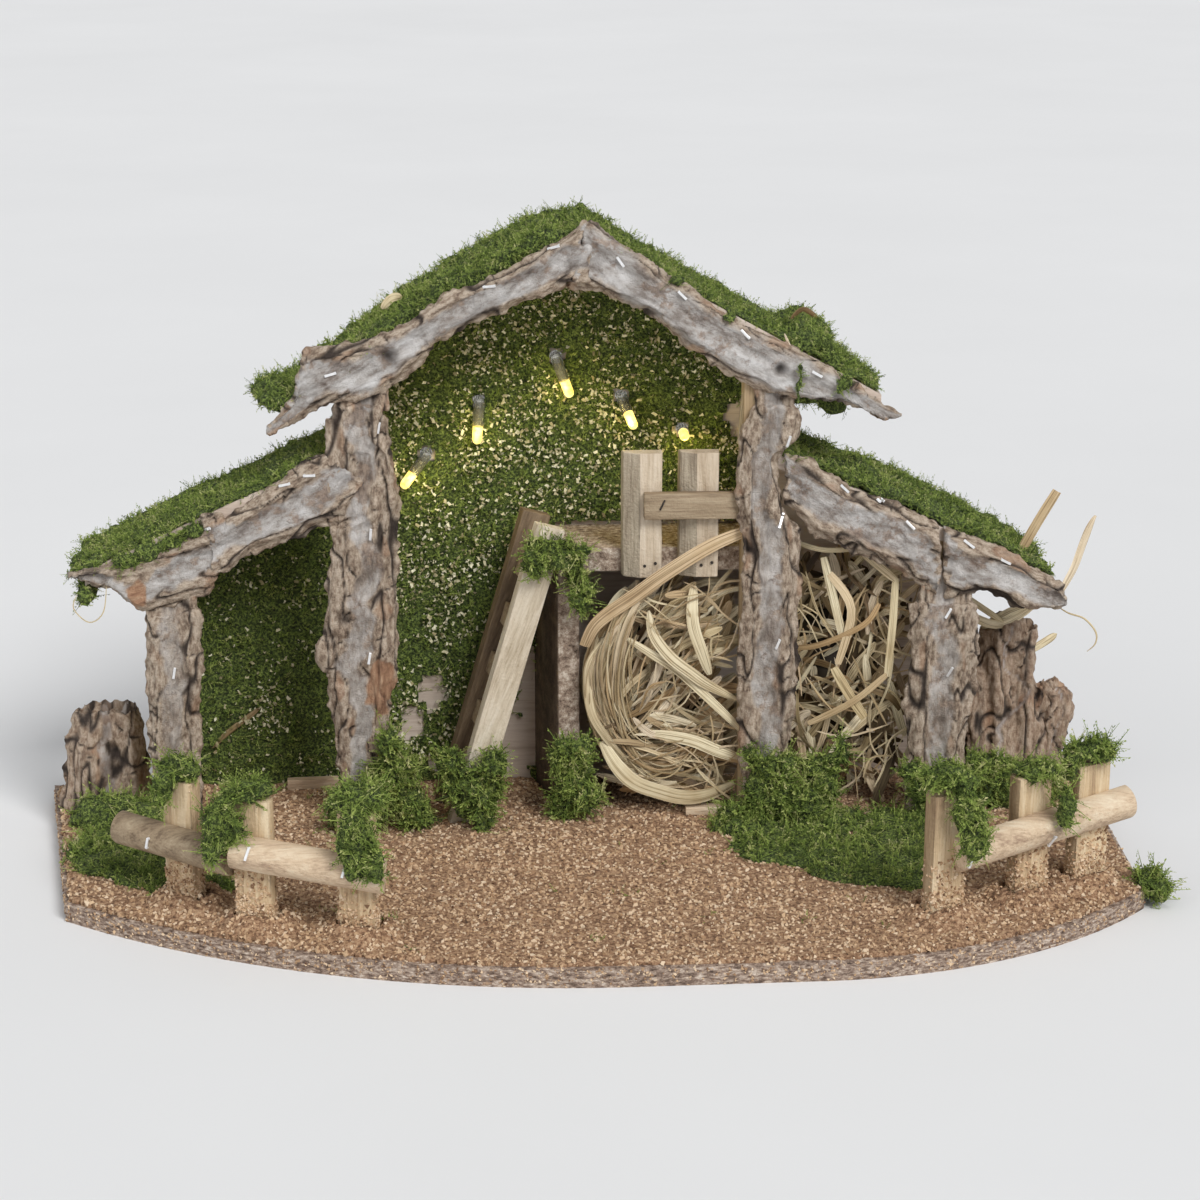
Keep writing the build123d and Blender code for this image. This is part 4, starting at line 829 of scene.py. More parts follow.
# The right stakes' faces turned left take this darker finish as painted shade.
stake_shade_finish = wood_finish(
    "split_pine_painted_shade", (0.19, 0.12, 0.065), (0.40, 0.285, 0.165), (0.55, 0.42, 0.27), relief=0.6, dust=0.16
)
rail_finish = wood_finish(
    "split_rail", (0.36, 0.24, 0.16), (0.66, 0.50, 0.34), (0.79, 0.67, 0.50), ALONG_X, 0.5, 0.14
)
stakes = []
for side, girth, painted_shade_finish in (("left", 8.8, None), ("right", 9.4, stake_shade_finish)):
    for at in ("outer", "middle", "inner"):
        name = "fence_%s_stake_%s" % (side, at)
        stakes.append(worn(name, 1.2, split_finish, 0.5, 3, painted_shade_finish, girth))
feet = bmesh.new()
for stake in stakes:
    feet.from_mesh(stake.data)
feet_mesh = to_mesh(feet, "stake_feet")
foot_covers = []
for vert in feet_mesh.vertices:
    limit = 22 + 12 * noise.noise(vert.co / 0.012)
    foot_covers.append(1 - eased(vert.co.z / MM, limit - 6, limit + 10))
with_cover(feet_mesh, foot_covers)
crumbs = scatter("stake_crumbs", feet_mesh, granules, 26000, 0.45, 1.0, lean=1.3, seed=15)
piece("stake_crumbs", crumbs, granule_finish)
bpy.data.meshes.remove(feet_mesh)
fence_rails = [worn("fence_left_rail_outer", 0.4, old_rail_finish, 0.3)]
for name in ("fence_left_rail_inner", "fence_right_rail"):
    fence_rails.append(worn(name, 0.4, rail_finish, 0.3))
fence_sight = sight_of(stakes + fence_rails)
fence_staple_spots = [
    (-210, -45, 42, -38), (-177, -70, 44, -30), (-164, -85, 50, -16), (-121, -98, 46, -16), (161, -88, 41, 26),
    (203, -68, 42, 26),
]
wires = bmesh.new()
for x, y, z, angle in fence_staple_spots:
    turn = math.radians(angle)
    way = Vector((0.25 * math.cos(turn), 0.25 * math.sin(turn), 0.97))
    staple(wires, fence_sight, Vector((x, y, z)) * MM, way, Vector((-math.sin(turn), math.cos(turn), 0)))
wire_mesh = to_mesh(wires, "fence_staple_wires")
piece("fence_staple_wires", wire_mesh, staple_finish, ["fence_staples"])

# Lamps: five rice bulbs pushed through the wall in clear sleeves. They glow warm yellow.
sleeve_finish = flecked_finish(
    "clear_sleeve",
    0.12,
    300,
    (0.46, 0.46, 0.42),
    (0.62, 0.62, 0.57),
    {"Transmission Weight": 0.9, "IOR": 1.3},
)
finish_solids(sleeve_finish, "led_sleeves")
bulb_finish, tree, shader, place = new_finish("glowing_bulb", 0.25)
glow = tinted(tree, mottle(tree, place, 350), [(0.3, (1.0, 0.70, 0.10)), (0.7, (1.0, 0.88, 0.34))])
painted(shader, glow)
tree.links.new(glow, shader.inputs["Emission Color"])
shader.inputs["Emission Strength"].default_value = 1.15
finish_solids(bulb_finish, "led_bulbs")
for number, (x, z) in enumerate(((-87, 174), (-57, 198), (-16, 220), (17, 202), (46, 189))):
    lamp = bpy.data.lights.new("bulb_glow_%d" % number, "POINT")
    lamp.energy = 0.010
    lamp.color = (1.0, 0.82, 0.30)
    lamp.shadow_soft_size = 3 * MM
    made = bpy.data.objects.new("bulb_glow_%d" % number, lamp)
    made.location = Vector((x, 96, z)) * MM
    bpy.context.collection.objects.link(made)

# Wall moss: thin dried moss glued flat on the plywood, with cream wood chips caught in it. It is
# worn through beside the ladder and at the right of the gable.
moss_finish, tree, shader, place = new_finish("dried_moss", 0.9)
tone = stored(tree, "tone")["Fac"]
tip = stored(tree, "tip")["Fac"]
patch = worked(tree, "SUBTRACT", mottle(tree, place, 60, 3), 0.5)
lightness = worked(tree, "ADD", worked(tree, "MULTIPLY", tone, 0.62), worked(tree, "MULTIPLY", tip, 0.34))
leaf_tone = tinted(
    tree,
    worked(tree, "ADD", patch, lightness),
    [
        (0.10, (0.024, 0.040, 0.008)),
        (0.30, (0.095, 0.148, 0.024)),
        (0.52, (0.215, 0.300, 0.052)),
        (0.75, (0.365, 0.440, 0.105)),
        (0.97, (0.54, 0.52, 0.24)),
    ],
)
# The felt is dark green as painted shade deep in the moss, between the fronds.
bed_tone_with_gap_shade = tinted(
    tree,
    mottle(tree, place, 800, 5, 0.7),
    [(0.38, (0.010, 0.016, 0.004)), (0.50, (0.068, 0.100, 0.020)), (0.62, (0.24, 0.31, 0.068))],
)
painted(shader, bed_and_bits(tree, tone, bed_tone_with_gap_shade, leaf_tone))
embossed(tree, shader, mottle(tree, place, 900, 4), 1.4 * MM)


def sprig(seed, length, spread, leaves=9):
    """A moss frond: a thin curled stem with small pointed leaves that stand off it in turn."""
    draw = random.Random(seed)
    form = bmesh.new()
    tips = form.verts.layers.float.new("tip")
    stem = Matrix.Translation((0, 0, length * MM / 2))
    bmesh.ops.create_cone(
        form, segments=3, radius1=0.3 * MM, radius2=0.1 * MM, depth=length * MM, cap_ends=False, matrix=stem
    )
    for number in range(leaves):
        height = length * (0.08 + 0.92 * number / leaves)
        leaf = Matrix.Translation((0, 0, height * MM))
        leaf @= Matrix.Rotation(number * 2.4 + draw.uniform(-0.5, 0.5), 4, "Z")
        leaf @= Matrix.Rotation(-math.radians(draw.uniform(15, 60)), 4, "Y")
        reach = spread * draw.uniform(0.7, 1.25) * (1 - 0.4 * number / leaves)
        leaf @= Matrix.Translation((reach * MM / 2, 0, 0))
        leaf @= Matrix.Diagonal((reach / 2, 0.45, 1, 1))
        bmesh.ops.create_circle(form, cap_ends=True, segments=4, radius=MM, matrix=leaf)
    bend = draw.uniform(0.3, 0.9)
    twist = draw.uniform(0.8, 1.6)
    for vert in form.verts:
        share = vert.co.z / (length * MM)
        vert[tips] = min(max(share, 0), 1)
        vert.co.x += bend * share * vert.co.z
        vert.co.y += 0.9 * MM * math.sin(twist * share * math.pi)
    return to_mesh(form, "sprig_%d" % seed)


sprig_sizes = ((1, 5.2, 2.0), (2, 7.2, 1.7), (3, 4.0, 2.3), (4, 6.2, 1.9), (5, 8.4, 1.6))
sprigs = [sprig(seed, length, spread) for seed, length, spread in sprig_sizes]
# X, Z and half sizes in mm
wall_bare_spots = [
    (76, 199, 7, 11), (-81, 58, 6, 9), (-91, 42, 6, 9), (-37, 30, 10, 22), (-33, 58, 7, 20), (-72, 20, 9, 6),
]


def wall_cover(x, z):
    """How much moss holds at a place on the wall, in mm."""
    cover = 0.85 + 0.6 * noise.noise(Vector((x / 16, z / 16, 3)))
    frayed = 0.75 * noise.fractal(Vector((x / 6, z / 6, 6)), 0.9, 2.0, 4)
    for bare_x, bare_z, half_x, half_z in wall_bare_spots:
        away = math.hypot((x - bare_x) / half_x, (z - bare_z) / half_z)
        cover -= 1.3 * (1 - eased(away + frayed, 0.6, 1.15))
    left_bay = -213 < x < -121
    beside_ladder = -112 < x < -24
    above_loft = -112 < x < 80 and z > 146
    return min(max(cover, 0), 1) if left_bay or beside_ladder or above_loft else 0


wall_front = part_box("back_wall")[0][1]
film = draped_grid("back_wall", RIGHT, UP, BACK, 2.1 * MM)
gone = []
for vert in film.verts:
    off_wall = vert.co.y > wall_front + MM
    shift = noise.noise_vector(vert.co / 0.0031)
    vert.co += Vector((shift.x, 0, shift.z)) * 1.1 * MM
    cover = wall_cover(vert.co.x / MM, vert.co.z / MM)
    if cover < 0.25 or off_wall:
        gone.append(vert)
    vert.co.y = wall_front - (0.4 + (1.8 + 1.6 * noise.noise(vert.co / 0.006)) * cover) * MM
bmesh.ops.delete(film, geom=gone, context="VERTS")
skirted(film, 1, wall_front)
film_mesh = to_mesh(film, "wall_film")
if film_mesh.polygons[0].normal.y > 0:
    film_mesh.flip_normals()
film_fronts = [float(vert.co.y < wall_front - 0.1 * MM) for vert in film_mesh.vertices]
film_covers = []
for vert, held in zip(film_mesh.vertices, film_fronts):
    film_covers.append(wall_cover(vert.co.x / MM, vert.co.z / MM) * held)
with_cover(film_mesh, film_covers)
film_moss = scatter("wall_moss", film_mesh, sprigs, 6600, 0.4, 0.9, lean=1.4, seed=21, keep_carrier=True)
piece("wall_moss_film", film_moss, moss_finish, ["moss_wall"])

chip_finish, tree, shader, place = new_finish("cream_chips", 0.8)
chip_tone = tinted(
    tree,
    stored(tree, "tone")["Fac"],
    [(0.15, (0.36, 0.31, 0.16)), (0.5, (0.64, 0.60, 0.40)), (0.95, (0.83, 0.81, 0.62))],
)
speck_tone = tinted(tree, mottle(tree, place, 900), [(0.3, (0.55, 0.5, 0.42)), (0.6, (1, 1, 1))])
painted(shader, blended(tree, 0.6, chip_tone, speck_tone, "MULTIPLY"))


def shaving(seed):
    """A broken flat chip with a bent corner."""
    draw = random.Random(seed)
    form = bmesh.new()
    bmesh.ops.create_grid(form, x_segments=2, y_segments=1, size=MM)
    for vert in form.verts:
        vert.co.x *= draw.uniform(0.5, 1.6)
        vert.co.y *= draw.uniform(0.25, 1.0)
        vert.co.z += draw.uniform(-0.3, 0.6) * MM + 3.4 * MM
    return to_mesh(form, "shaving_%d" % seed)


shavings = [shaving(seed) for seed in range(7)]
chip_covers = []
for vert, held in zip(film_mesh.vertices, film_fronts):
    x, z = vert.co.x, vert.co.z
    clump = noise.noise(Vector((x / 0.022, z / 0.022, 8))) + 0.7 * noise.noise(Vector((x / 0.007, z / 0.007, 5)))
    gable = eased(x / MM, 10, 70) * eased(z / MM, 170, 260)
    heap = math.hypot((x / MM + 178) / 24, (z / MM - 40) / 20)
    left = 1 - 0.7 * eased(-x / MM, 120, 135) * eased(heap, 0.6, 1.3)
    chip_covers.append(max(0.4 + 0.95 * clump, 0.04) * (1 - 0.8 * gable) * left * held)
film_mesh.attributes["cover"].data.foreach_set("value", chip_covers)
chips = scatter("wall_chips", film_mesh, shavings, 18500, 0.22, 1.05, lean=0.9, seed=31)
piece("wall_chips", chips, chip_finish)

# Straw: flat dried grass. A nest of long leaves swirls under the loft, looser straw fills the
# right bay, and a few stalks stick in the moss and bark of the right eave.
straw_finish, tree, shader, place = new_finish("dried_straw", 0.6)
hue = stored(tree, "hue")["Fac"]
lay = stretched(tree, add_node(tree, "ShaderNodeTexCoord")["UV"], (1.6, 11, 1))
vein_pattern = {"Vector": lay, "W": worked(tree, "MULTIPLY", hue, 60), "Scale": 1, "Detail": 4}
veins = add_node(tree, "ShaderNodeTexNoise", vein_pattern, noise_dimensions="4D")["Fac"]
# The first stop, near black, is the colour of the cores, which keep a tone of 0: painted shade inside the heaps.
base_tone = tinted(
    tree,
    stored(tree, "tone")["Fac"],
    [
        (0.0, (0.035, 0.023, 0.010)),
        (0.2, (0.28, 0.20, 0.10)),
        (0.45, (0.66, 0.55, 0.36)),
        (0.7, (0.82, 0.735, 0.55)),
        (1.0, (0.90, 0.84, 0.68)),
    ],
)
hue_tone = tinted(
    tree,
    hue,
    [
        (0.15, (1, 0.98, 0.88)),
        (0.50, (1, 0.95, 0.87)),
        (0.70, (0.72, 0.55, 0.37)),
        (0.80, (0.95, 0.84, 0.77)),
        (0.95, (1, 0.95, 0.93)),
    ],
)
vein_tone = tinted(tree, veins, [(0.38, (0.26, 0.20, 0.12)), (0.47, (0.78, 0.73, 0.65)), (0.58, (1, 1, 1))])
streaked = blended(tree, 0.8, blended(tree, 0.85, base_tone, hue_tone, "MULTIPLY"), vein_tone, "MULTIPLY")
stain_tone = tinted(tree, mottle(tree, place, 70, 3), [(0.4, (1, 1, 1)), (0.75, (0.62, 0.50, 0.33))])
painted(shader, blended(tree, 0.45, streaked, stain_tone, "MULTIPLY"))
embossed(tree, shader, veins, 0.25 * MM)


def smooth_run(knots, count):
    """Points along a curve that passes the given places, in mm."""
    spots = [Vector(knot) for knot in knots]
    run = []
    for number in range(len(spots) - 1):
        before = spots[max(number - 1, 0)]
        after = spots[min(number + 2, len(spots) - 1)]
        first, last = spots[number], spots[number + 1]
        first_handle = first + (last - before) / 6
        last_handle = last - (after - first) / 6
        run += geometry.interpolate_bezier(first, first_handle, last_handle, last, count)[:-1]
    return run + [spots[-1]]


def with_straw_layers(form):
    form.verts.layers.float.new("tone")
    form.verts.layers.float.new("hue")
    form.loops.layers.uv.new("UVMap")
    return form


def leaf(form, run, width, facing, tone, fold=0.05, taper=0.7):
    """A flat grass leaf along a run of places, folded at its midrib and narrower at its ends."""
    made = bmesh.ops.create_grid(form, x_segments=len(run) - 1, y_segments=2, size=0.5, calc_uvs=True)
    tones = form.verts.layers.float["tone"]
    hues = form.verts.layers.float["hue"]
    last = len(run) - 1
    for vert in made["verts"]:
        number = round((vert.co.x + 0.5) * last)
        side = vert.co.y * 2
        way = (run[min(number + 1, last)] - run[max(number - 1, 0)]).normalized()
        across = way.cross(facing).normalized()
        out = across.cross(way)
        end = abs(2 * number / last - 1)
        half = 0.5 * width * (1 - taper * end**4)
        vert.co = (run[number] + across * half * side - out * fold * width * abs(side)) * MM
        vert[tones] = tone
        vert[hues] = 0.5 + 0.5 * noise.cell(run[0] * 3.7)


def turned_front(draw, most):
    """A direction near the front, for a leaf to face."""
    return Vector((draw.uniform(-most, most), -1, draw.uniform(-most, most))).normalized()


def drawn_spot(draw, *limits):
    return Vector([draw.uniform(low, high) for low, high in limits])


def straight_leaf(form, draw, spot, angle, lengths, widths, tones, sway, lean):
    """A short leaf through a place, bowed a little. Its tone is between two or one of more."""
    length = draw.uniform(*lengths)
    width = draw.uniform(*widths)
    tone = draw.uniform(*tones) if len(tones) == 2 else draw.choice(tones)
    turn = math.radians(angle)
    half = Vector((math.cos(turn), draw.uniform(-0.25, 0.25), math.sin(turn))) * length / 2
    bow = Vector((draw.uniform(-sway, sway), draw.uniform(-2, 2), draw.uniform(-sway, sway)))
    run = smooth_run([spot - half, spot + bow, spot + half], 5)
    leaf(form, run, width, turned_front(draw, lean), tone)


def ring_leaf(form, draw, middle, *limits):
    """A leaf that runs round a middle.

    The limits are those of its first angle, half width and half height of the ring, sweep, depth, width,
    tone and drift out or in.
    """
    start, half_x, half_z, sweep, depth, width, tone, drift = (draw.uniform(*pair) for pair in limits)
    run = []
    for step in range(13):
        angle = math.radians(start + sweep * step / 12)
        reach = 1 + drift * step / 12
        x = middle[0] + half_x * reach * math.cos(angle)
        z = middle[1] + half_z * reach * math.sin(angle)
        run.append(Vector((x, depth + 3 * math.sin(angle * 2), z)))
    leaf(form, run, width, turned_front(draw, 0.35), tone)


def placed_leaves(form, draw, leaves, lean, fold=0.05):
    """Leaves that pass given places, in mm, each with its width, tone and taper."""
    for knots, width, tone, taper in leaves:
        leaf(form, smooth_run(knots, 6), width, turned_front(draw, lean), tone, fold, taper)


def painted_shade_core(name, share):
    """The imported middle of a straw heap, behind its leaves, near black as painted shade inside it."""
    form = with_straw_layers(merged(name))
    low, high = (Vector(corner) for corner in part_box(name))
    centre = (low + high) / 2
    for vert in form.verts:
        vert.co = centre + (vert.co - centre) * share
        vert.co.y += 0.5 * (high.y - low.y) * (1 - share)
    return to_mesh(form, name + "_core")


def straw_piece(name, form, replaced, core=None):
    if core:
        packed = painted_shade_core(core, 0.62)
        form.from_mesh(packed)
        bpy.data.meshes.remove(packed)
    mesh = to_mesh(form, name)
    smoothed(mesh)
    return piece(name, mesh, straw_finish, replaced)


draw = random.Random(5)
nest = with_straw_layers(bmesh.new())
for number in range(190):
    spot = Vector((draw.gauss(30, 13), draw.uniform(64, 80), draw.gauss(80, 17)))
    spot.x = min(max(spot.x, 8), 58)
    spot.z = min(max(spot.z, 40), 115)
    tones = (0.1, 0.3, 0.6, 0.9, 1.0)
    straight_leaf(nest, draw, spot, draw.gauss(58, 18), (16, 36), (1.3, 4.2), tones, 2.5, 0.6)
for number in range(160):
    spot = drawn_spot(draw, (18, 56), (60, 78), (20, 58))
    tones = (0.1, 0.3, 0.55, 0.85, 1.0)
    straight_leaf(nest, draw, spot, draw.gauss(-9, 10), (22, 44), (1.2, 4.0), tones, 3, 0.6)
for number in range(60):
    spot = drawn_spot(draw, (22, 58), (62, 80), (92, 126))
    straight_leaf(nest, draw, spot, draw.gauss(30, 22), (14, 30), (1.6, 4.5), (0.25, 0.85), 3, 0.6)
for number in range(46):
    ring_leaf(
        nest, draw, (34, 76),
        (95, 200), (26, 40), (42, 57), (40, 100), (59, 70), (1.6, 4.4), (0.35, 0.95), (-0.2, 0.05),
    )
for number in range(220):
    ring_leaf(
        nest, draw, (34, 77),
        (130, 235), (22, 40), (36, 58), (30, 90), (57, 66), (0.5, 1.1), (0.3, 0.75), (-0.3, 0.1),
    )
for number in range(110):
    spot = drawn_spot(draw, (24, 64), (57, 66), (20, 124))
    angle = draw.choice((-40, 25, 60)) + draw.gauss(0, 14)
    straight_leaf(nest, draw, spot, angle, (14, 36), (0.5, 1.2), (0.3, 0.8), 5, 0.5)
for number in range(46):
    ring_leaf(
        nest, draw, (34, 77),
        (105, 180), (30, 43), (42, 57), (25, 60), (66, 78), (2.2, 5.0), (0.3, 0.9), (-0.2, 0.0),
    )
for number in range(60):
    spot = drawn_spot(draw, (54, 67), (66, 84), (20, 128))
    straight_leaf(nest, draw, spot, draw.gauss(48, 26), (14, 30), (2.2, 5.5), (0.3, 0.95), 3, 0.5)
nest_leaves = [
    (
        [
            (-6.5, 61, 98), (-2, 57, 109), (5, 56, 116), (16, 55, 124), (29, 54, 134), (45, 53, 145),
            (58, 54, 152), (72, 56, 157),
        ],
        7.2, 0.8, 0.3,
    ),
    (
        [(2, 60, 49), (9, 55, 38), (18, 54, 29), (31, 53, 24), (43, 53, 21), (55, 54, 22), (68, 58, 26)],
        8.0, 0.72, 0.6,
    ),
    ([(25, 61, 116), (27, 57, 105), (35, 55, 94), (45, 54, 86), (54, 55, 79), (70, 59, 69)], 5.8, 0.78, 0.85),
    ([(14, 61, 102), (27, 58, 94), (39, 57, 86), (50, 56, 76), (61, 56, 65), (72, 58, 53)], 4.4, 0.85, 0.6),
    ([(47, 62, 128), (46, 58, 117), (47, 57, 107), (51, 57, 95), (55, 59, 83)], 6.0, 0.75, 0.6),
    ([(24, 60, 53), (45, 57, 50), (59, 57, 44), (72, 60, 38)], 6.2, 0.85, 0.7),
    ([(7, 62, 105), (-3, 59, 92), (-5, 58, 80), (-3, 58, 64), (5, 58, 50), (14, 61, 38)], 4.6, 0.68, 0.7),
]
placed_leaves(nest, draw, nest_leaves, 0.2)
straw_piece("straw_nest_leaves", nest, ["straw_nest"], "straw_nest")
bay = with_straw_layers(bmesh.new())
for number in range(300):
    spot = drawn_spot(draw, (94, 152), (64, 92), (22, 132))
    angle = draw.choice((70, 110, 35, -30)) + draw.gauss(0, 18)
    straight_leaf(bay, draw, spot, angle, (14, 36), (1.6, 5.0), (0.06, 0.15, 0.35, 0.6, 0.9), 4, 0.7)
for number in range(110):
    spot = drawn_spot(draw, (92, 154), (60, 72), (22, 128))
    straight_leaf(bay, draw, spot, draw.uniform(0, 180), (14, 40), (0.5, 1.3), (0.25, 0.75), 5, 0.6)
bay_leaves = [
    ([(122, 58, 152), (131, 57, 143), (145, 56, 131)], 4.2, 0.62, 0.25),
    ([(145, 56, 132), (144, 55, 108), (142, 55, 82)], 3.8, 0.60, 0.25),
    ([(142, 55, 83), (126, 56, 69), (104, 58, 57)], 3.4, 0.60, 0.25),
    ([(110, 60, 142), (116, 58, 118), (121, 58, 98)], 4.2, 0.85, 0.25),
    ([(113, 59, 134), (124, 57, 116), (118, 57, 88)], 4.4, 0.8, 0.25),
    ([(92, 60, 96), (108, 57, 98), (130, 57, 108), (138, 60, 118)], 3.2, 0.55, 0.25),
    ([(96, 60, 150), (112, 58, 146), (140, 58, 148)], 2.4, 0.62, 0.25),
    ([(116, 58, 86), (124, 57, 72), (132, 57, 60)], 5.0, 0.45, 0.25),
]
placed_leaves(bay, draw, bay_leaves, 0.2)
straw_piece("straw_bay_leaves", bay, ["straw_right_bay"], "straw_right_bay")
stalks = with_straw_layers(bmesh.new())
stalk_leaves = [
    ([(209.5, 80, 135.5), (212, 80, 139), (220, 80, 154), (228, 80, 168)], 5.2, 0.8, 0.1),
    (
        [(224, 53, 119), (229, 57, 126), (234, 59, 135), (238, 61, 146), (241, 62, 154), (244, 63, 160)],
        4.6, 0.85, 0.85,
    ),
    ([(175, 66, 114), (188, 70, 106), (203, 76, 101), (222, 80, 111)], 4.6, 0.8, 0.85),
    ([(192, 82, 96), (206, 77, 107), (226, 84, 111)], 4.2, 0.85, 0.85),
    ([(175, 66, 123), (190, 70, 112), (204, 77, 101)], 3.4, 0.6, 0.85),
    ([(218, 84, 84), (226, 86, 88), (233, 88, 92)], 4.0, 0.7, 0.85),
    (
        [(224, 51, 118), (230, 52, 114), (238, 52, 111), (244, 52, 104), (244, 52, 98), (240, 52, 94)],
        0.9, 0.5, 0.85,
    ),
]
placed_leaves(stalks, draw, stalk_leaves, 0.3, 0.3)
straw_piece("straw_stalk_leaves", stalks, ["straw_stalks"])
stray = with_straw_layers(bmesh.new())
stray_leaves = [
    ([(-194, 110, 31), (-186, 110, 39), (-177, 109.5, 46), (-169, 110.5, 52)], 2.8, 0.25, 0.7),
    ([(-102, 74, 264), (-97, 75, 269), (-92, 78, 269)], 4.0, 0.6, 0.7),
    ([(94, 78, 256), (100, 79, 260.5), (107, 80, 256)], 2.6, 0.22, 0.7),
    ([(88, 54, 254), (91, 50, 246), (92, 49, 238)], 1.4, 0.7, 0.7),
    ([(-249, 47, 133), (-251, 46, 126), (-244, 46, 119), (-237, 46, 124), (-235, 48, 138)], 0.6, 0.6, 0.7),
    ([(70, 58, 226), (69, 58, 212), (68, 58, 198)], 3.0, 0.42, 0.7),
]
placed_leaves(stray, draw, stray_leaves, 0.3, 0.2)
straw_piece("stray_straws", stray, [])

# Loose wood: a sawn offcut in front of the nest and a stick at the wall, lying on the granules.
worn("ground_offcuts", 0.4, rail_finish, 0.2)

# Moss: sheets of dried moss glued on the roofs, and tufts pressed round the posts, over the fence
# stakes and on the ground. A felt, dark green as painted shade deep in the moss, is covered with fronds.


def mossed(name, replaced, lumps, count, seed, voxel, rough, lean=1.7, whole=True, tallest=1.1):
    """A felt over CAD solids and lumps, each X, Y, Z and half sizes in mm, covered with fronds."""
    form = merged(*replaced) if whole else bmesh.new()
    with_lumps(form, lumps)
    skin = remeshed(form, voxel * MM)
    normals = [normal.vector.copy() for normal in skin.vertex_normals]
    for vert, normal in zip(skin.vertices, normals):
        rise = 0.9 * noise.noise(vert.co / 0.023 + Vector((seed, 0, 0)))
        rise += 0.9 * noise.fractal(vert.co / 0.009, 0.9, 2.0, 3) - 0.25
        vert.co += normal * rise * rough * MM
        vert.co.z = max(vert.co.z, 3 * MM)
    covers = []
    # Fronds thin out on faces turned down or back, so more dark felt, painted shade, shows under the lumps.
    for vert, normal in zip(skin.vertices, normals):
        thin = 0.75 + 0.7 * noise.noise(vert.co / 0.013 + Vector((0, seed, 0)))
        covers.append(min(max(thin, 0.1), 1) * (0.3 + 0.7 * eased(normal.z - 0.5 * normal.y, -0.6, 0.3)))
    with_cover(skin, covers)
    grown = scatter(name, skin, sprigs, count, 0.35, tallest, lean, seed, keep_carrier=True)
    for vert in grown.vertices:
        vert.co.z = max(vert.co.z, 0.5 * MM)
    return piece(name, grown, moss_finish, replaced)


def broken_up(lumps, seed):
    """The same lumps, each with smaller ones thrown round it."""
    draw = random.Random(seed)
    bits = []
    for x, y, z, half_x, half_y, half_z in lumps:
        bits.append((x, y, z, 0.8 * half_x, 0.8 * half_y, 0.8 * half_z))
        for number in range(5):
            share = draw.uniform(0.25, 0.55)
            at_x = x + draw.uniform(-0.9, 0.9) * half_x
            at_y = y + draw.uniform(-0.7, 0.4) * half_y
            at_z = z + draw.uniform(-0.8, 0.9) * half_z
            bits.append((at_x, at_y, at_z, share * half_x, share * half_y + 1, share * half_z))
    return bits


main_left_lumps = [(-156, 75, 225, 9, 20, 7), (-148, 58, 222, 9, 6, 6)]
main_right_lumps = [
    (104, 82, 246, 10, 16, 9), (102, 72, 222, 8, 12, 7), (113, 70, 216, 6, 8, 4), (95, 46, 237, 2.5, 2.5, 7),
    (94, 45, 226, 2, 2, 5), (118, 47, 233, 4, 3, 5), (113, 45, 228, 2, 2, 4), (62, 49, 263, 6, 4, 4),
    (36, 49, 281, 5, 4, 4),
]
lean_left_lumps = [
    (-246, 64, 132, 5, 7, 8), (-246, 49, 131, 5, 3, 6), (-226, 49, 148, 7, 3, 5), (-214, 49, 153, 7, 3, 5),
    (-203, 49, 158, 7, 3, 5), (-192, 49, 163, 7, 3, 5),
]
lean_right_lumps = [
    (96, 52, 192, 6, 3, 5), (116, 76, 180, 20, 16, 9), (146, 74, 166, 9, 12, 7), (194, 72, 146, 9, 9, 8),
]
for side, lumps, count, seed, voxel, rough, tallest in (
    ("main_left", main_left_lumps, 10000, 41, 2.5, 3.4, 0.75),
    ("main_right", main_right_lumps, 10000, 42, 2.0, 2.8, 0.68),
    ("lean_left", lean_left_lumps, 7800, 43, 1.8, 2.2, 0.75),
    ("lean_right", lean_right_lumps, 7800, 44, 2.0, 3.0, 0.72),
):
    mossed("moss_cap_" + side, ["moss_roof_" + side], lumps, count, seed, voxel, rough, tallest=tallest)
bed_lumps = [
    (-240, 58, 15, 20, 12, 12), (-222, 50, 14, 12, 10, 11), (-238, 26, 11, 20, 34, 5), (-214, 0, 11, 24, 28, 5),
    (-194, -24, 11, 24, 14, 4), (-206, 40, 12, 14, 14, 6), (92, 14, 11, 32, 30, 5), (126, -12, 11, 34, 30, 5),
    (150, 26, 12, 26, 28, 6), (72, 36, 12, 18, 12, 6), (112, 40, 12, 24, 14, 7), (146, -34, 11, 16, 14, 4),
]
mossed("moss_beds", ["moss_ground"], bed_lumps, 7600, 45, 2.2, 2.2, lean=1.5, whole=False)
clump_lumps = [
    (-22, 60, 145, 17, 8, 10), (-10, 61, 130, 7, 5, 13), (-32, 58, 141, 8, 5, 6), (-64, 44, 30, 15, 9, 18),
    (-52, 46, 40, 9, 7, 14), (-13, 53, 36, 11, 6, 24), (-6, 52, 22, 10, 7, 10), (-113, 42, 24, 16, 8, 16),
    (-97, 42, 38, 10, 7, 20), (-90, 44, 18, 12, 8, 10), (85, 40, 25, 17, 9, 20), (78, 42, 40, 7, 5, 10),
    (66, 40, 16, 11, 9, 9), (102, 38, 20, 13, 10, 13), (112, 46, 34, 9, 6, 15), (165, 40, 26, 15, 8, 16),
    (176, 40, 24, 8, 8, 15), (205, 62, 24, 19, 9, 16), (224, 64, 22, 9, 9, 13), (190, 56, 28, 9, 7, 13),
]
clump_bits = broken_up(clump_lumps, 8)
mossed("moss_clumps", ["moss_tufts"], clump_bits, 9500, 46, 2.0, 3.6, lean=1.25, whole=False, tallest=1.2)
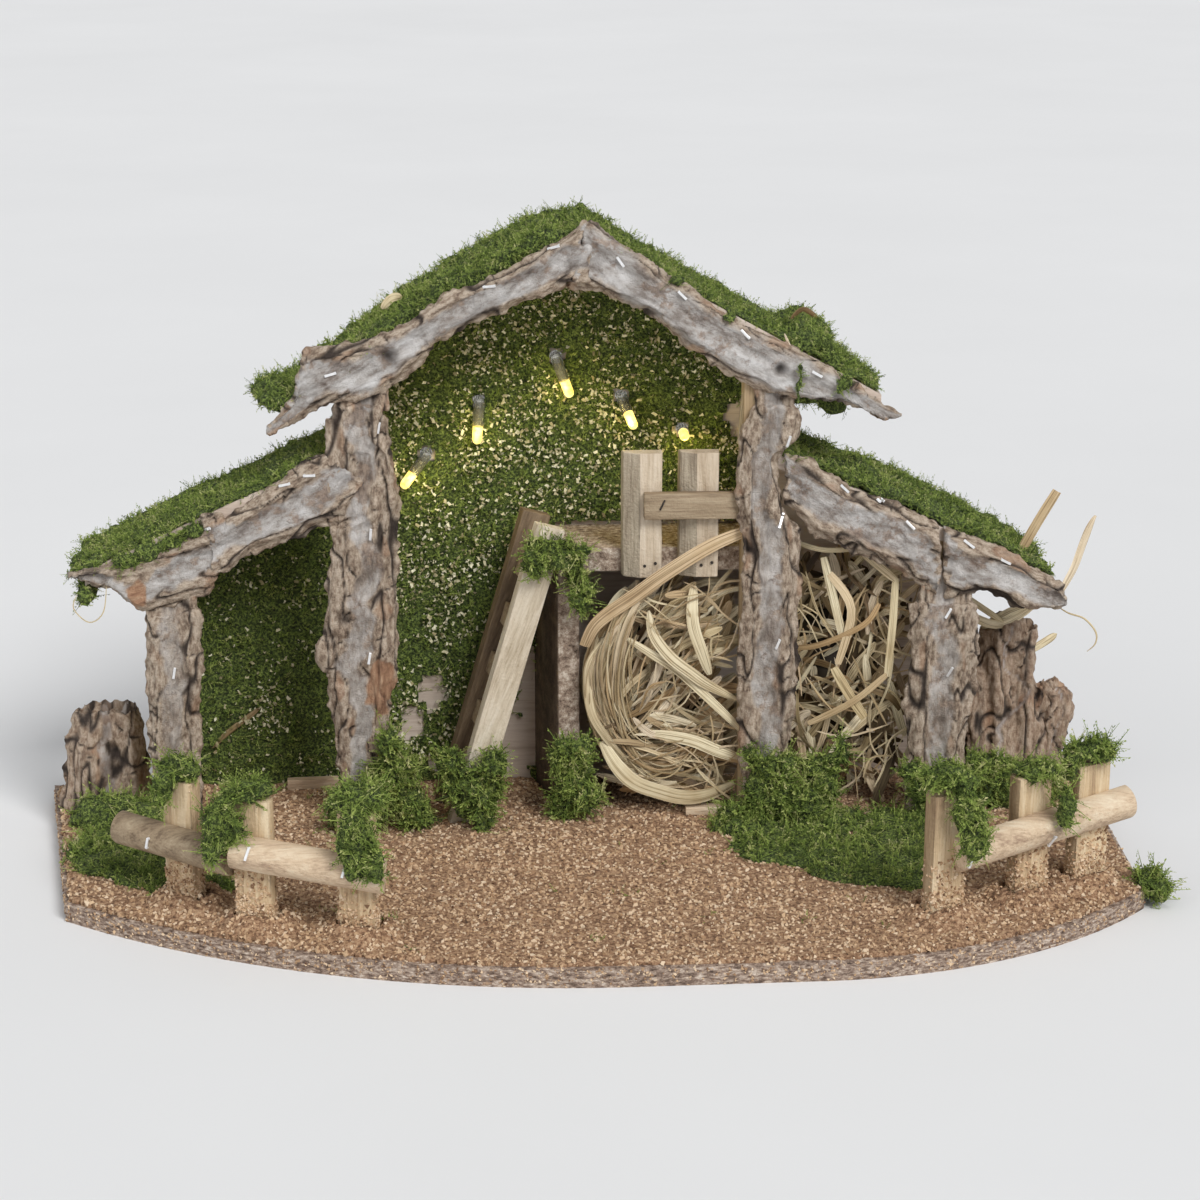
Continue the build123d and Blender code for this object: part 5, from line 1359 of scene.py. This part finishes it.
cap_lumps = [
    (-196, -42, 76, 12, 8, 7), (-203, -48, 68, 6, 4, 8), (-163, -70, 76, 12, 8, 6), (-174, -76, 62, 8, 5, 14),
    (-178, -78, 50, 5, 3, 7), (-113, -88, 77, 12, 8, 7), (-115, -97, 60, 10, 4, 18), (-107, -98, 50, 5, 3, 9),
    (150, -80, 79, 14, 9, 7), (157, -88, 66, 9, 5, 12), (161, -91, 52, 6, 4, 10), (194, -56, 73, 12, 8, 5),
    (206, -66, 60, 4, 4, 11), (222, -42, 77, 13, 8, 6), (212, -46, 70, 5, 4, 7), (257, -42, 9, 5, 10, 8),
    (250, -41, 13, 6, 9, 5),
]
mossed("moss_stake_caps", [], cap_lumps, 5200, 47, 1.6, 2.6)
crumb_covers = []
for vert in bed_mesh.vertices:
    crumb_covers.append(eased(noise.noise(Vector((vert.co.x, vert.co.y, 0.4)) / 0.016), 0.42, 0.6))
bed_mesh.attributes["cover"].data.foreach_set("value", crumb_covers)
crumbs = scatter("moss_crumbs", bed_mesh, sprigs, 9000, 0.2, 0.6, lean=1.5, seed=51)
piece("moss_crumbs", crumbs, moss_finish)

# Studio: a plain pale floor, soft light from the right front, and the camera of the picture.
sheet = bmesh.new()
bmesh.ops.create_grid(sheet, x_segments=1, y_segments=1, size=6)
floor = bpy.data.objects.new("studio_floor", to_mesh(sheet, "studio_floor"))
bpy.context.collection.objects.link(floor)
floor.data.materials.append(flecked_finish("pale_floor", 0.9, 2, (0.80, 0.80, 0.80), (0.83, 0.83, 0.83)))


def soft_light(name, spot, spread, strength):
    """Even light from far off, with soft shadows as under a wide studio screen."""
    lamp = bpy.data.lights.new(name, "SUN")
    lamp.angle = math.radians(spread)
    lamp.energy = strength
    made = bpy.data.objects.new(name, lamp)
    made.rotation_euler = (-Vector(spot)).to_track_quat("-Z", "Y").to_euler()
    bpy.context.collection.objects.link(made)


soft_light("key", (0.75, -1.25, 1.35), 26, 2.3)
soft_light("fill", (-1.3, -1.1, 0.9), 60, 0.6)
world = bpy.data.worlds.new("studio")
bpy.context.scene.world = world
world.use_nodes = True
sky = world.node_tree.nodes["Background"]
sky.inputs["Color"].default_value = (0.95, 0.97, 1.0, 1)
sky.inputs["Strength"].default_value = 0.38
lens = bpy.data.cameras.new("picture_camera")
lens.lens = 85
lens.sensor_width = 36
camera = bpy.data.objects.new("picture_camera", lens)
camera.location = Vector((-67.8, -1256.2, 525)) * MM
camera.rotation_euler = Vector((0.0500, 0.9550, -0.2924)).to_track_quat("-Z", "Y").to_euler()
bpy.context.collection.objects.link(camera)
bpy.context.scene.camera = camera
bpy.context.scene.view_settings.view_transform = "Standard"
